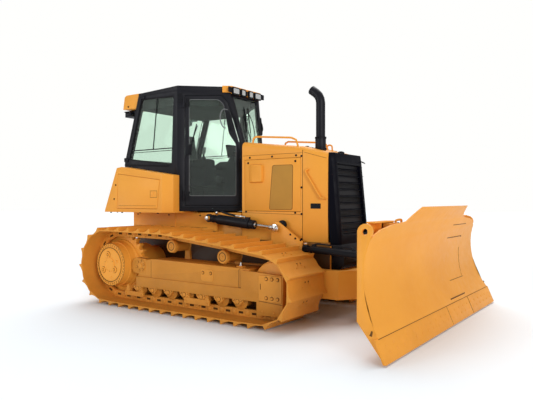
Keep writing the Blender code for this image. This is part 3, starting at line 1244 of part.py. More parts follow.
def build_tilt_cylinder(kingpin):
    base, eye = Vector(TILT_BASE), Vector(TILT_EYE)
    along = (eye - base).normalized()
    swing = pivot("tilt_cylinder_pin", base, kingpin)
    barrel = rod_between("tilt_barrel", base + along * 0.03, base + along * 0.40, 0.036, 20)
    join(barrel, eye_disc("tilt_root_tool", base.x, 0.032, 0.042, "X", base.yz))
    bore = bore_through("tilt_bore_tool", base.x, 0.1, 0.022, "X", base.yz, 16)
    inside = TILT_ROD_RADIUS + RUNNING
    cut(barrel, bore, rod_between("tilt_hollow_tool", base + along * 0.15, base + along * 0.60, inside, 16))
    place(barrel, swing, black("tilt_barrel"))
    slide = pivot("tilt_rod_slide", eye, swing)
    rod = rod_between("tilt_rod", eye - along * 0.38, eye, TILT_ROD_RADIUS, 16)
    join(rod, eye_disc("tilt_tip_tool", eye.x, 0.028, 0.036, "X", eye.yz))
    place(rod, slide, steel("tilt_rod"))


def main():
    for side in (-1, 1):
        build_track(side)
        build_sprocket(side)
        build_idler(side)
        build_track_frame(side)
        build_side_plate(side)
        build_rear_box(side)
        build_engine_door(side)
        build_cab_door(side)
        build_lift_cylinder(side)
    build_main_frame()
    build_fuel_tank()
    build_hood()
    build_engine_block()
    build_radiator_guard()
    build_nose_beam()
    build_exhaust()
    build_cab()
    build_roof_fairings()
    build_seat()
    lift = build_c_frame()
    kingpin = build_pivot_mast(lift)
    tilt = build_blade(kingpin)
    build_blade_frame(tilt)
    build_tilt_cylinder(kingpin)
    for side in (-1, 1):
        build_angle_cylinder(side, lift)


main()
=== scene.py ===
"""Materials, small parts, light and camera for the bulldozer.

Coordinates here are those of the machine's drawing: X forward from the sprocket shaft, Y to the
left, Z up from the ground.  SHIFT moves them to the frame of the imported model.  A side's sign s
is -1 on the right and 1 on the left.
"""
import math

import bmesh
import bpy
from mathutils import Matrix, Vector


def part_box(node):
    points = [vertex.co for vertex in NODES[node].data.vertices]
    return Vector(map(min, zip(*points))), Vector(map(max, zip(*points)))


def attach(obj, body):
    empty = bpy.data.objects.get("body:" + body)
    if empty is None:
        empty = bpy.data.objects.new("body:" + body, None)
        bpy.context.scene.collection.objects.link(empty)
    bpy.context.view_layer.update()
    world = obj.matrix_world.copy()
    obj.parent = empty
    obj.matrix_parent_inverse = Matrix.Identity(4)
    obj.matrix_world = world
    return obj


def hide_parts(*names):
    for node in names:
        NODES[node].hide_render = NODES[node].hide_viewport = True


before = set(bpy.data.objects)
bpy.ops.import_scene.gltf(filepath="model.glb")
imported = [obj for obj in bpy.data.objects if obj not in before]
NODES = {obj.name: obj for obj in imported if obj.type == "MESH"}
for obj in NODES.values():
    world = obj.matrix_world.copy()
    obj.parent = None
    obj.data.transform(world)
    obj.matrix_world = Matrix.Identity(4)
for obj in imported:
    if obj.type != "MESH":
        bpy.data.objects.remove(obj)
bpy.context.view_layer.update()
SHIFT = sum(corner.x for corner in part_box("final_drive_right")) / 2
SIDES = ((-1, "right"), (1, "left"))
UP, FORWARD, BACK, RIGHT = (0, 0, 1), (1, 0, 0), (-1, 0, 0), (0, -1, 0)

# Sizes that the small parts are set against.
TRACK_Y = 1.00  # middle of each track
SPROCKET = (0.0, 0.528, 0.420)  # (x, z, radius of the chain's pin line)
IDLER = (2.59, 0.437, 0.328)
CARRIERS = ((1.06, 0.820), (1.90, 0.735))
CARRIER_LINE = 0.119  # pin line above a carrier's centre
ROLLERS = (0.46, 2.14, 7)  # first x, last x, count
ROLLER_Z, ROLLER_LINE = 0.241, 0.139
SHOE_COUNT, SHOE_PHASE = 39, 0.47
SHOE_FACE = 0.056  # outer face of a shoe's plate outside the pin line
RAIL_FACE = 0.108  # outer face of the link rails from the track's middle
HUB_FACE = 1.258  # |y| of the hub's bolted rim
FRAME_FACE = 1.170  # |y| of the track frame's outer face
CAP_FACE = 1.184  # |y| of the roller caps and chain guides
HULL_HALF = 0.500  # |y| of the hull's side above the track
HOOD_HALF = 0.44
BOX_FACE = 0.97
CAB_HALF, TAPER_X = 0.76, 0.77  # half width of the cab, and where its sides turn inwards
TAPER = (0.8, 0.6)  # direction of the tapered side
FLOOR_Z = 1.3066  # underside of the mats on the cab's floor

# Pins and rod eyes of the cylinders: (x, z) and |y|, (x, |y|, z), (x, y, z).
LIFT_PIN, LIFT_EYE, LIFT_Y = (1.165, 1.165), (2.240, 1.062), 0.5525
ANGLE_PIN, ANGLE_EYE = (2.66, 0.525, 0.83), (3.83, 0.550, 0.76)
TILT_PIN, TILT_EYE = (3.755, -0.04, 0.96), (3.755, 0.62, 0.98)

EDGE_OUT = (0.92, 0, 0.4)  # way that the cutting edge faces
PROUD = 0.0012  # how far a drawn line stands above its surface
SINK = 0.002  # how deep small parts are let into the face below

# Turns in degrees: edges of a piece that turn by more stay sharp and are rounded; edges of a carried-over
# node that turn by more stay sharp, are rounded, or are kept when its flat faces are merged.
SHARP_PIECE, SHARP_NODE, ROUND_NODE, FLAT_NODE = 38.0, 32.0, 30.0, 0.6
WELD_GAP = 0.00004  # corners of a node that lie this close become one

# Seat pads: cloth pressure, frames simulated, farthest move and remeshing step in metres.
PAD_PRESSURE, PAD_FRAMES, PAD_LIMIT, PAD_VOXEL = 4.0, 20, 0.022, 0.008

# Dark brown of dust with painted shade near the ground, and dark brown of painted shade low on the hull's
# sides.
DUST_AND_SHADE, HULL_SIDE_SHADE = (0.34, 0.16, 0.035), (0.085, 0.04, 0.014)  # colors

# Sky, floor, suns as (name, direction, angle, strength), and camera.
SKY_COLOR, SKY_LIGHT, SKY_SEEN = (1.0, 1.0, 0.985, 1.0), 0.44, 1.0
FLOOR_HALF, FLOOR_TONES = 60.0, ((0.83, 0.88, 0.925), (0.85, 0.90, 0.945))
SUNS = (
    ("overhead", (-0.30, 0.52, 1.00), 60, 2.45),
    ("low_left", (-0.55, -0.82, 0.24), 22, 0.50),
    ("low_right", (0.84, -0.50, 0.22), 22, 1.30),
)
CAMERA_AT, CAMERA_HEADING, CAMERA_LENS, CAMERA_SENSOR = (4.3155, -6.226, 1.407), 35.34, 37.675, 36.0


# ---------------- material building
def node(tree, kind, **values):
    """New node; each value goes to the input of that name, with _ for a space, or else to the setting."""
    made = tree.nodes.new(kind)
    for key, value in values.items():
        socket = key.replace("_", " ")
        if socket in made.inputs:
            made.inputs[socket].default_value = value
        else:
            setattr(made, key, value)
    return made


def link(tree, source, target):
    tree.links.new(source, target)


def new_material(name, **values):
    """Material, its node tree and its shader, with the shader's uniform inputs set."""
    mat = bpy.data.materials.new(name)
    mat.use_nodes = True
    shader = mat.node_tree.nodes["Principled BSDF"]
    for key, value in values.items():
        shader.inputs[key.replace("_", " ")].default_value = value
    return mat, mat.node_tree, shader


def connect(tree, shader, color, roughness):
    link(tree, color, shader.inputs["Base Color"])
    link(tree, roughness, shader.inputs["Roughness"])


def object_coords(tree, stretch=None):
    source = node(tree, "ShaderNodeTexCoord").outputs["Object"]
    if stretch:
        mapping = node(tree, "ShaderNodeMapping", Scale=stretch)
        link(tree, source, mapping.inputs["Vector"])
        source = mapping.outputs["Vector"]
    return source


def coordinate(tree, kind, axis):
    """One axis of the object's coordinates or of its normals."""
    split = node(tree, "ShaderNodeSeparateXYZ")
    link(tree, node(tree, "ShaderNodeTexCoord").outputs[kind], split.inputs[0])
    return split.outputs[axis]


def noise(tree, scale, detail=4.0, rough=0.55):
    made = node(tree, "ShaderNodeTexNoise", Scale=scale, Detail=detail, Roughness=rough)
    link(tree, object_coords(tree), made.inputs["Vector"])
    return made.outputs["Fac"]


def wave(tree, axis, scale, **values):
    made = node(tree, "ShaderNodeTexWave", bands_direction=axis, Scale=scale, **values)
    link(tree, object_coords(tree), made.inputs["Vector"])
    return made.outputs["Fac"]


def ramp(tree, value, low, high, start=0.0, end=1.0):
    """Value from start to end while the input goes from low to high."""
    made = node(tree, "ShaderNodeMapRange", From_Min=low, From_Max=high, To_Min=start, To_Max=end)
    link(tree, value, made.inputs["Value"])
    return made.outputs["Result"]


def combine(tree, operation, first, second):
    made = node(tree, "ShaderNodeMath", operation=operation)
    link(tree, first, made.inputs[0])
    link(tree, second, made.inputs[1])
    return made.outputs[0]


def blend_colors(tree, factor, first, second):
    """Mix of two colors, each a tuple or an output."""
    made = node(tree, "ShaderNodeMix", data_type="RGBA")
    for key, color in ((6, first), (7, second)):
        if isinstance(color, tuple):
            made.inputs[key].default_value = (*color, 1.0)
        else:
            link(tree, color, made.inputs[key])
    link(tree, factor, made.inputs[0])
    return made.outputs[2]


def mottled(tree, pattern, color, shade):
    """Color that drifts between two tones with a pattern."""
    return blend_colors(tree, ramp(tree, pattern, 0.3, 0.7), color, shade)


def bump(tree, shader, height, strength, distance):
    made = node(tree, "ShaderNodeBump", Strength=strength, Distance=distance)
    link(tree, height, made.inputs["Height"])
    link(tree, made.outputs["Normal"], shader.inputs["Normal"])


def scaled(color, by):
    return tuple(c * by for c in color)


def paint(name, color, shade, roughness, coat=0.0, specular=0.4, dust_and_shade=0.0, grain=260.0, skin=0.05,
          side_shade_band=None):
    """Sprayed paint: cloudy tone, fine skin, dust with painted shade towards the ground, and painted shade
    low on upright sides.
    """
    mat, tree, shader = new_material(name, Specular_IOR_Level=specular, Coat_Weight=coat,
                                     Coat_Roughness=0.18)
    tone = blend_colors(tree, ramp(tree, noise(tree, 1.7, 5.0), 0.32, 0.68), color, shade)
    speck = ramp(tree, noise(tree, 46.0, 3.0, 0.7), 0.62, 0.78, 0.0, 0.22)
    tone = blend_colors(tree, speck, tone, scaled(shade, 0.82))
    # Towards the ground the tone turns dark brown: dust, with painted shade under the machine.
    if dust_and_shade:
        low = ramp(tree, coordinate(tree, "Object", "Z"), 0.0, 1.0, dust_and_shade, 0.0)
        patch = ramp(tree, noise(tree, 9.0, 6.0, 0.7), 0.35, 0.75, 0.2, 1.0)
        tone = blend_colors(tree, combine(tree, "MULTIPLY", low, patch), tone, DUST_AND_SHADE)
    # Upright sides below about one metre turn dark brown: painted shade under the track's upper run.
    if side_shade_band:
        shaded_low = ramp(tree, coordinate(tree, "Object", "Z"), *side_shade_band, 1.0, 0.0)
        turned = coordinate(tree, "Normal", "Y")
        sideways = ramp(tree, combine(tree, "MULTIPLY", turned, turned), 0.4, 0.8)
        tone = blend_colors(tree, combine(tree, "MULTIPLY", shaded_low, sideways), tone, HULL_SIDE_SHADE)
    rough = ramp(tree, noise(tree, 14.0, 5.0, 0.65), 0.3, 0.7, roughness - 0.07, roughness + 0.09)
    connect(tree, shader, tone, rough)
    bump(tree, shader, noise(tree, grain, 2.0), skin, 0.002)
    return mat


def moulded(name, color, shade, roughness=0.55, grain=380.0, strength=0.18, specular=0.25):
    """Grained plastic or rubber."""
    mat, tree, shader = new_material(name, Specular_IOR_Level=specular)
    rough = ramp(tree, noise(tree, 22.0), 0.3, 0.7, roughness - 0.06, roughness + 0.08)
    connect(tree, shader, mottled(tree, noise(tree, 5.0), color, shade), rough)
    bump(tree, shader, noise(tree, grain, 3.0, 0.7), strength, 0.0015)
    return mat


def metal(name, color, shade, roughness, scale=60.0):
    """Bare metal with fine turning or rolling marks."""
    mat, tree, shader = new_material(name, Metallic=1.0)
    marks = noise(tree, scale, 4.0, 0.6)
    rough = ramp(tree, marks, 0.3, 0.7, roughness * 0.7, roughness * 1.4)
    connect(tree, shader, mottled(tree, marks, color, shade), rough)
    bump(tree, shader, marks, 0.06, 0.001)
    return mat


def glazing(name, color, roughness=0.01):
    """Tinted pane with a faint film of dust."""
    mat, tree, shader = new_material(name, Transmission_Weight=1.0, IOR=1.45)
    film = ramp(tree, noise(tree, 7.0, 6.0, 0.6), 0.4, 0.8, 0.0, 0.3)
    connect(tree, shader, blend_colors(tree, film, color, scaled(color, 0.93)),
            ramp(tree, noise(tree, 11.0, 5.0), 0.35, 0.75, roughness, roughness + 0.04))
    return mat


def fabric(name, color, shade, pitch=0.0032):
    """Plain weave: crossed ridges with a soft sheen."""
    mat, tree, shader = new_material(name, Sheen_Weight=0.4, Sheen_Roughness=0.5, Specular_IOR_Level=0.2)
    threads = [wave(tree, axis, 1 / pitch / 6.0, Distortion=1.2, Detail=2.0) for axis in ("X", "Z")]
    weave = combine(tree, "MULTIPLY", *threads)
    patchy = mottled(tree, noise(tree, 8.0, 5.0), color, shade)
    thread = blend_colors(tree, ramp(tree, weave, 0.0, 1.0, 0.0, 0.6), patchy, scaled(color, 1.6))
    connect(tree, shader, thread, ramp(tree, weave, 0.0, 1.0, 0.95, 0.8))
    bump(tree, shader, weave, 0.5, 0.0012)
    return mat


def lamp_glass(name):
    """Clear lens over a bright reflector, with moulded ribs."""
    mat, tree, shader = new_material(name, Metallic=0.6, Coat_Weight=1.0)
    ribs = wave(tree, "Y", 26.0, Distortion=0.3)
    connect(tree, shader, blend_colors(tree, ribs, (0.50, 0.52, 0.52), (0.86, 0.88, 0.88)),
            ramp(tree, ribs, 0.0, 1.0, 0.10, 0.26))
    bump(tree, shader, ribs, 0.4, 0.002)
    return mat


def perforated(name, color, hole_shade, pitch, specular=0.3):
    """Sheet full of small round holes in straight rows, the holes painted dark as painted shade behind
    them.
    """
    mat, tree, shader = new_material(name, Specular_IOR_Level=specular)
    cells = node(tree, "ShaderNodeTexVoronoi", Scale=1.0, Randomness=0.0)
    link(tree, object_coords(tree, (1 / pitch, 1 / pitch, 1 / pitch)), cells.inputs["Vector"])
    hole = ramp(tree, cells.outputs["Distance"], 0.34, 0.44, 1.0, 0.0)
    sheet = mottled(tree, noise(tree, 3.0), color, scaled(color, 0.85))
    tone = blend_colors(tree, hole, sheet, hole_shade)
    connect(tree, shader, tone, ramp(tree, hole, 0.0, 1.0, 0.45, 0.9))
    bump(tree, shader, ramp(tree, hole, 0.0, 1.0, 1.0, 0.0), 0.6, 0.003)
    return mat


# Settings that several paints share.
SPRAYED = {"color": (0.85, 0.36, 0.046), "shade": (0.8, 0.325, 0.04), "roughness": 0.48, "coat": 0.06,
           "specular": 0.18}
# Undercarriage paints: dust with painted shade towards the ground.
DUSTY_AND_SHADED = {"roughness": 0.55, "coat": 0.03, "specular": 0.18, "dust_and_shade": 0.42, "grain": 150.0, "skin": 0.12}

YELLOW = paint("paint_yellow", **SPRAYED)
# The hull's paint darkens low on its upright sides: painted shade.
HULL = paint("paint_hull", **SPRAYED, side_shade_band=(0.82, 1.02))
# Darker copies of the yellow for the tracks and track frames: painted shade of the undercarriage.
SHADED_TRACK = paint("paint_track_shaded", (0.74, 0.305, 0.04), (0.62, 0.245, 0.03), **DUSTY_AND_SHADED)
SHADED_FRAME = paint("paint_frame", (0.65, 0.265, 0.034), (0.54, 0.212, 0.026), **DUSTY_AND_SHADED)
EDGE = paint("paint_edge", (0.84, 0.35, 0.044), (0.76, 0.305, 0.036), 0.5, 0.04, 0.18, 0.06, 180.0, 0.08)
BLACK = paint("paint_black", (0.01, 0.01, 0.014), (0.007, 0.007, 0.01), 0.42, specular=0.17)
# Darker, duller copy of the black paint for the radiator guard: painted shade on its front.
SHADED_GUARD = paint("paint_black_guard_shaded", (0.003, 0.003, 0.007), (0.002, 0.002, 0.005), 0.45, specular=0.06)
IRON = paint("cast_iron", (0.04, 0.04, 0.043), (0.02, 0.02, 0.022), 0.62, grain=90.0, skin=0.4)
PLASTIC = moulded("plastic_black", (0.008, 0.008, 0.011), (0.005, 0.005, 0.007), specular=0.15)
RUBBER = moulded("rubber_black", (0.009, 0.009, 0.01), (0.013, 0.012, 0.012), 0.6, 240.0, 0.25, 0.2)
GREY = moulded("trim_grey", (0.2, 0.21, 0.21), (0.15, 0.16, 0.16), 0.5)
# Dark brown for joints, and for painted shade round the feet of bolts and in creases.
SEAM_AND_SHADE = moulded("seam_and_shade_brown", (0.17, 0.066, 0.01), (0.12, 0.05, 0.008), 0.7)
# Dark brown for openings and gaps that show only shade: painted shade.
SHADE_FILL = moulded("shade_fill_brown", (0.1, 0.04, 0.007), (0.06, 0.024, 0.005), 0.8, specular=0.1)
LINING = moulded("roof_lining_grey", (0.07, 0.074, 0.074), (0.055, 0.058, 0.058), 0.85, specular=0.1)
RED = moulded("lens_red", (0.35, 0.012, 0.01), (0.25, 0.008, 0.008), 0.25, 90.0, 0.05, 0.5)
CHROME = metal("chrome_rod", (0.8, 0.8, 0.82), (0.7, 0.71, 0.73), 0.16, 40.0)
STEEL = metal("steel_zinc", (0.7, 0.7, 0.68), (0.5, 0.5, 0.48), 0.34)
BOLT_BLACK = metal("steel_black", (0.02, 0.02, 0.022), (0.012, 0.012, 0.014), 0.45)
GLASS = glazing("cab_glass", (0.79, 0.925, 0.83))
SEAT = fabric("seat_fabric", (0.03, 0.031, 0.034), (0.02, 0.021, 0.024))
LENS = lamp_glass("lamp_lens")
MESH = perforated("perforated_yellow", (0.5, 0.24, 0.022), (0.09, 0.042, 0.005), 0.014)
GRILLE = perforated("perforated_black", (0.012, 0.012, 0.015), (0.002, 0.002, 0.002), 0.016, 0.2)

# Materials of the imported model's slots.
FINISH = {
    "machine_yellow": YELLOW, "machine_black": BLACK, "track_yellow": SHADED_TRACK, "edge_yellow": EDGE,
    "rod_chrome": CHROME, "cab_glass": GLASS, "engine_iron": IRON, "seat_cover": SEAT,
    "cab_plastic": PLASTIC,
}


# ---------------- mesh building
def add_object(name, data):
    obj = bpy.data.objects.new(name, data)
    bpy.context.scene.collection.objects.link(obj)
    return obj


def round_edges(obj, width, angle, segments=2):
    """Rounds, by a modifier, the edges that turn by more than an angle."""
    rounding = obj.modifiers.new("rounding", "BEVEL")
    rounding.width, rounding.segments = width, segments
    rounding.limit_method, rounding.angle_limit = "ANGLE", math.radians(angle)
    return rounding


def circle(middle, side, other, radius, segments, turn=0.0):
    """Points round a circle in the plane of two directions."""
    angles = [2 * math.pi * (k + turn) / segments for k in range(segments)]
    return [middle + (side * math.cos(a) + other * math.sin(a)) * radius for a in angles]


class Shape:
    """Closed forms that become one piece of one material, riding on one body."""
    made = []

    def __init__(self, name, mat, body="machine_body", bevel=0.0, segments=2):
        self.name, self.mat, self.body, self.bevel, self.segments = name, mat, body, bevel, segments
        self.verts, self.faces = [], []
        Shape.made.append(self)

    def loft(self, rings, closed=False):
        """Skin over rings of points; closed joins the last ring to the first, else the ends are capped."""
        first, count, total = len(self.verts), len(rings[0]), len(rings)
        self.verts += [Vector(v) for ring in rings for v in ring]
        if not closed:
            self.faces += [[first + end * count + i for i in range(count)] for end in (0, total - 1)]
        for k in range(total if closed else total - 1):
            here, there = first + k * count, first + (k + 1) % total * count
            for i in range(count):
                j = (i + 1) % count
                self.faces.append([here + i, here + j, there + j, there + i])

    def turned(self, at, out, profile, segments=20, turn=0.5):
        """Round form: profile pairs are (outwards, radius) from a point along a direction."""
        out = Vector(out).normalized()
        side = out.orthogonal().normalized()
        other = out.cross(side)
        self.loft([circle(Vector(at) + out * along, side, other, radius, segments, turn)
                   for along, radius in profile])

    def cap(self, at, out, radius, profile, segments=20):
        """Round form that is let a little into the face below."""
        self.turned(at, out, [(-SINK, radius)] + profile, segments)

    def bolt(self, at, out, radius, height=None, washer=False):
        """Hexagon head with a chamfer."""
        height = height or radius * 0.75
        if washer:
            self.cap(at, out, radius * 1.35, [(radius * 0.18, radius * 1.3)], 14)
        self.turned(at, out, [(-SINK, radius), (height * 0.8, radius), (height, radius * 0.84)], 6, 0.0)

    def button(self, at, out, radius):
        """Round screw head with a domed rim and a sunk middle."""
        height = radius * 0.45
        self.cap(at, out, radius, [(height * 0.6, radius), (height, radius * 0.82), (height, radius * 0.46),
                                   (height * 0.3, radius * 0.40)], 14)

    def slab(self, outline, depth):
        """Plate: a flat outline of points, pushed by a vector."""
        depth = Vector(depth)
        self.loft([[Vector(p) for p in outline], [Vector(p) + depth for p in outline]])

    def plate(self, outline, face, depth):
        """Plate in the side plane y = face, outline pairs are (x, z)."""
        self.slab([(x, face, z) for x, z in outline], (0, depth, 0))

    def across(self, outline, side, *stations):
        """Form lofted along X through stations, outline pairs are (|y|, z)."""
        self.loft([[(x, side * y, z) for y, z in outline] for x in stations])

    def block(self, corner, opposite):
        (x0, x1), (y0, y1), (z0, z1) = (sorted(pair) for pair in zip(corner, opposite))
        self.slab([(x0, y0, z0), (x0, y1, z0), (x0, y1, z1), (x0, y0, z1)], (x1 - x0, 0, 0))

    def line(self, points, face, side, width=0.005):
        """Thin raised line on the side plane y = face, through (x, z) points."""
        for (x0, z0), (x1, z1) in zip(points, points[1:]):
            along = Vector((x1 - x0, z1 - z0)).normalized() * width / 2
            across = Vector((-along.y, along.x))
            corners = [(x0 - along.x + across.x, z0 - along.y + across.y),
                       (x1 + along.x + across.x, z1 + along.y + across.y),
                       (x1 + along.x - across.x, z1 + along.y - across.y),
                       (x0 - along.x - across.x, z0 - along.y - across.y)]
            self.plate(corners, face - side * SINK, side * (SINK + PROUD))

    def tube(self, points, radius, segments=10, smooth=4):
        """Bent round bar; with smooth above 0 the corners turn into a curve through the points."""
        points = [Vector(p) for p in points]
        if smooth:
            ends = [points[0] * 2 - points[1]] + points + [points[-1] * 2 - points[-2]]
            fine = []
            for i in range(1, len(ends) - 2):
                a, b, c, d = ends[i - 1:i + 3]
                bend, twist = 2 * a - 5 * b + 4 * c - d, 3 * b - a - 3 * c + d
                for k in range(smooth):
                    t = k / smooth
                    fine.append(0.5 * (2 * b + (c - a) * t + bend * t * t + twist * t ** 3))
            points = fine + [points[-1]]
        normal = (points[1] - points[0]).orthogonal().normalized()
        rings = []
        for i, middle in enumerate(points):
            before = (middle - points[i - 1]) if i else (points[1] - points[0])
            after = (points[i + 1] - middle) if i + 1 < len(points) else before
            tangent = (before.normalized() + after.normalized()).normalized()
            normal = (normal - tangent * normal.dot(tangent)).normalized()
            rings.append(circle(middle, normal, tangent.cross(normal), radius, segments))
        self.loft(rings)

    def border(self, outer, inner, place, low, high):
        """Flat ring between two outlines with as many points; place(a, b, out) gives each point."""
        walls = ((outer, low), (outer, high), (inner, high), (inner, low))
        self.loft([[place(*p, level) for p in outline] for outline, level in walls], closed=True)

    def mesh(self):
        """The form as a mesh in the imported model's frame, its faces turned outwards."""
        mesh = bpy.data.meshes.new(self.name)
        mesh.from_pydata([(v.x + SHIFT, v.y, v.z) for v in self.verts], [], self.faces)
        form = bmesh.new()
        form.from_mesh(mesh)
        bmesh.ops.recalc_face_normals(form, faces=form.faces)
        form.to_mesh(mesh)
        form.free()
        return mesh

    def build(self):
        mesh = self.mesh()
        mesh.shade_smooth()
        mesh.set_sharp_from_angle(angle=math.radians(SHARP_PIECE))
        mesh.materials.append(self.mat)
        obj = add_object(self.name, mesh)
        if self.bevel:
            round_edges(obj, self.bevel, SHARP_PIECE, self.segments).harden_normals = True
        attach(obj, self.body)


def rounded(points, radius, steps=3):
    """Flat outline with its corners rounded; points are pairs."""
    out = []
    count = len(points)
    for i in range(count):
        before, here, after = (Vector(points[(i + k) % count]) for k in (-1, 0, 1))
        reach = min(radius, (before - here).length * 0.45, (after - here).length * 0.45)
        start = here + (before - here).normalized() * reach
        end = here + (after - here).normalized() * reach
        for k in range(steps + 1):
            t = k / steps
            out.append(tuple(start * (1 - t) ** 2 + here * 2 * t * (1 - t) + end * t * t))
    return out


def rectangle(x0, z0, x1, z1):
    return [(x0, z0), (x1, z0), (x1, z1), (x0, z1)]


def panel(x0, z0, x1, z1, radius, steps=3):
    """Rectangle with rounded corners."""
    return rounded(rectangle(x0, z0, x1, z1), radius, steps)


def ring_places(center, radius, count, turn=0.0):
    """Places evenly round a circle."""
    angles = [2 * math.pi * (k + turn) / count for k in range(count)]
    return [(center[0] + radius * math.cos(a), center[1] + radius * math.sin(a)) for a in angles]


def shrunk(outline, middle, by_x, by_z):
    """Outline drawn in towards a middle."""
    return [(middle[0] + (x - middle[0]) * by_x, middle[1] + (z - middle[1]) * by_z) for x, z in outline]


def spot(radius):
    """Profile of a thin dark disc that shows round a bolt: painted shade at its foot."""
    return [(-SINK, radius), (0.0008, radius)]


def ring_profile(inner, outer):
    """Profile of a thin dark ring."""
    return [(-SINK, outer), (0.001, outer), (0.001, inner), (-SINK, inner)]


def sleeve(low, high, length, slope):
    """Profile of a collar that stands out from a bar, with sloped ends."""
    return [(0, low), (slope, high), (length - slope, high), (length, low)]


def marked_bolts(bolts, marks, places, out, radius, height, shade, segments=14):
    """Bolt heads, each with a dark disc of painted shade round its foot."""
    for at in places:
        bolts.bolt(at, out, radius, height)
        marks.turned(at, out, spot(shade), segments)


# ---------------- carried-over nodes
def smooth_group():
    """Node tree that smooths every face and keeps sharp the edges that turn most."""
    tree = bpy.data.node_groups.new("smooth_by_angle", "GeometryNodeTree")
    for way in ("INPUT", "OUTPUT"):
        tree.interface.new_socket("Geometry", in_out=way, socket_type="NodeSocketGeometry")
    start, end = node(tree, "NodeGroupInput"), node(tree, "NodeGroupOutput")
    clean = node(tree, "GeometryNodeRemoveAttribute", Name="custom_normal")
    faces = node(tree, "GeometryNodeSetShadeSmooth")
    edges = node(tree, "GeometryNodeSetShadeSmooth", domain="EDGE", Shade_Smooth=False)
    turn = node(tree, "GeometryNodeInputMeshEdgeAngle")
    above = node(tree, "FunctionNodeCompare", operation="GREATER_THAN", B=math.radians(SHARP_NODE))
    for source, target in ((start, clean), (clean, faces), (faces, edges)):
        link(tree, source.outputs[0], target.inputs["Geometry"])
    link(tree, edges.outputs[0], end.inputs[0])
    link(tree, turn.outputs["Unsigned Angle"], above.inputs["A"])
    link(tree, above.outputs[0], edges.inputs["Selection"])
    return tree


def soften(names, width, group):
    """Rounds the edges of carried-over nodes and smooths their round faces, by modifiers only."""
    for name in names:
        obj = NODES[name]
        obj.modifiers.new("weld", "WELD").merge_threshold = WELD_GAP
        flat = obj.modifiers.new("flat", "DECIMATE")
        flat.decimate_type, flat.angle_limit = "DISSOLVE", math.radians(FLAT_NODE)
        if width:
            round_edges(obj, width, ROUND_NODE)
        obj.modifiers.new("shade", "NODES").node_group = group


def finish_nodes():
    """Gives every carried-over node its material and rounded edges."""
    # The hull, the track frames and the radiator guard take paints with painted shade in them.
    special = {"radiator_guard": SHADED_GUARD, "main_frame": HULL, "track_frame_right": SHADED_FRAME,
               "track_frame_left": SHADED_FRAME}
    for name, obj in NODES.items():
        for held in obj.material_slots:
            held.material = special.get(name) or FINISH[held.material.name.split(".")[0]]
    rods = [n for n in NODES if "_rod" in n]
    frames = [n for n in NODES if n.startswith("track_frame")]
    tracks = ["track_right", "track_left"]
    panes = [n for n in NODES if "glass" in n or n == "windscreen"]
    group = smooth_group()
    soften([n for n in NODES if n not in rods + frames + tracks + panes], 0.005, group)
    soften(frames, 0.003, group)
    soften(rods, 0.001, group)
    soften(tracks, 0.0, group)


# ---------------- tracks and undercarriage
def chain_pins(steps=1440):
    """Places of the chain's pins: a line pulled tight over the wheels, in equal steps."""
    wheels = [SPROCKET, IDLER] + [(x, z, CARRIER_LINE) for x, z in CARRIERS]
    wheels += [(x, ROLLER_Z, ROLLER_LINE) for x in ROLLERS[:2]]
    loop = []
    for k in range(steps):
        angle = math.radians(-90) + 2 * math.pi * (k + 0.5) / steps
        ux, uz = math.cos(angle), math.sin(angle)
        x, z, r = max(wheels, key=lambda w: w[0] * ux + w[1] * uz + w[2])
        loop.append(Vector((x + r * ux, z + r * uz)))
    ends = loop[1:] + loop[:1]
    lengths = [(there - here).length for here, there in zip(loop, ends)]
    pitch = sum(lengths) / SHOE_COUNT
    pins, travelled, target = [], 0.0, SHOE_PHASE * pitch
    for here, there, length in zip(loop, ends, lengths):
        while len(pins) < SHOE_COUNT and travelled + length >= target:
            pins.append(here.lerp(there, (target - travelled) / length))
            target += pitch
        travelled += length
    return pins


def chain_details(s, label):
    """Bolts and slots of each shoe, and the pin ends, bushings and windows of the link plates."""
    bolts = Shape("shoe_bolts_" + label, SHADED_TRACK)
    links = Shape("link_pins_" + label, SHADED_TRACK)
    dark = Shape("link_windows_" + label, SHADE_FILL)
    middle, face, side = s * TRACK_Y, s * (TRACK_Y + RAIL_FACE), (0, s, 0)
    pins = chain_pins()
    for start, end in zip(pins, pins[1:] + pins[:1]):
        step = end - start
        out = Vector((step.y, -step.x)).normalized()
        away = Vector((out.x, 0, out.y))

        def at(share, depth, y):
            point = start + step * share + out * depth
            return (point.x, y, point.y)

        for share, y in ((0.66, 0.0806), (0.83, 0.0338)):
            for way in (-1, 1):
                bolts.bolt(at(share, SHOE_FACE, middle + way * y), away, 0.0105, 0.008)
        # Dark slabs in the shoe slots and the link windows: painted shade in the openings.
        for y in (middle - 0.034, middle + 0.034):
            slot = rectangle(0.885, y - 0.009, 0.965, y + 0.009)
            dark.slab([at(share, SHOE_FACE - SINK, y) for share, y in slot], away * 0.003)
        links.cap(at(0, 0, face), side, 0.034, [(0.007, 0.034), (0.009, 0.031)], 16)
        links.turned(at(0, 0, face), side, [(0.006, 0.019), (0.013, 0.019), (0.014, 0.016)], 12)
        window = rectangle(0.33, -0.012, 0.67, 0.014)
        dark.slab([at(share, depth, face - s * SINK) for share, depth in window], (0, s * 0.0035, 0))
        for share in (0.36, 0.64):
            links.bolt(at(share, 0.031, face), side, 0.0085, 0.006)


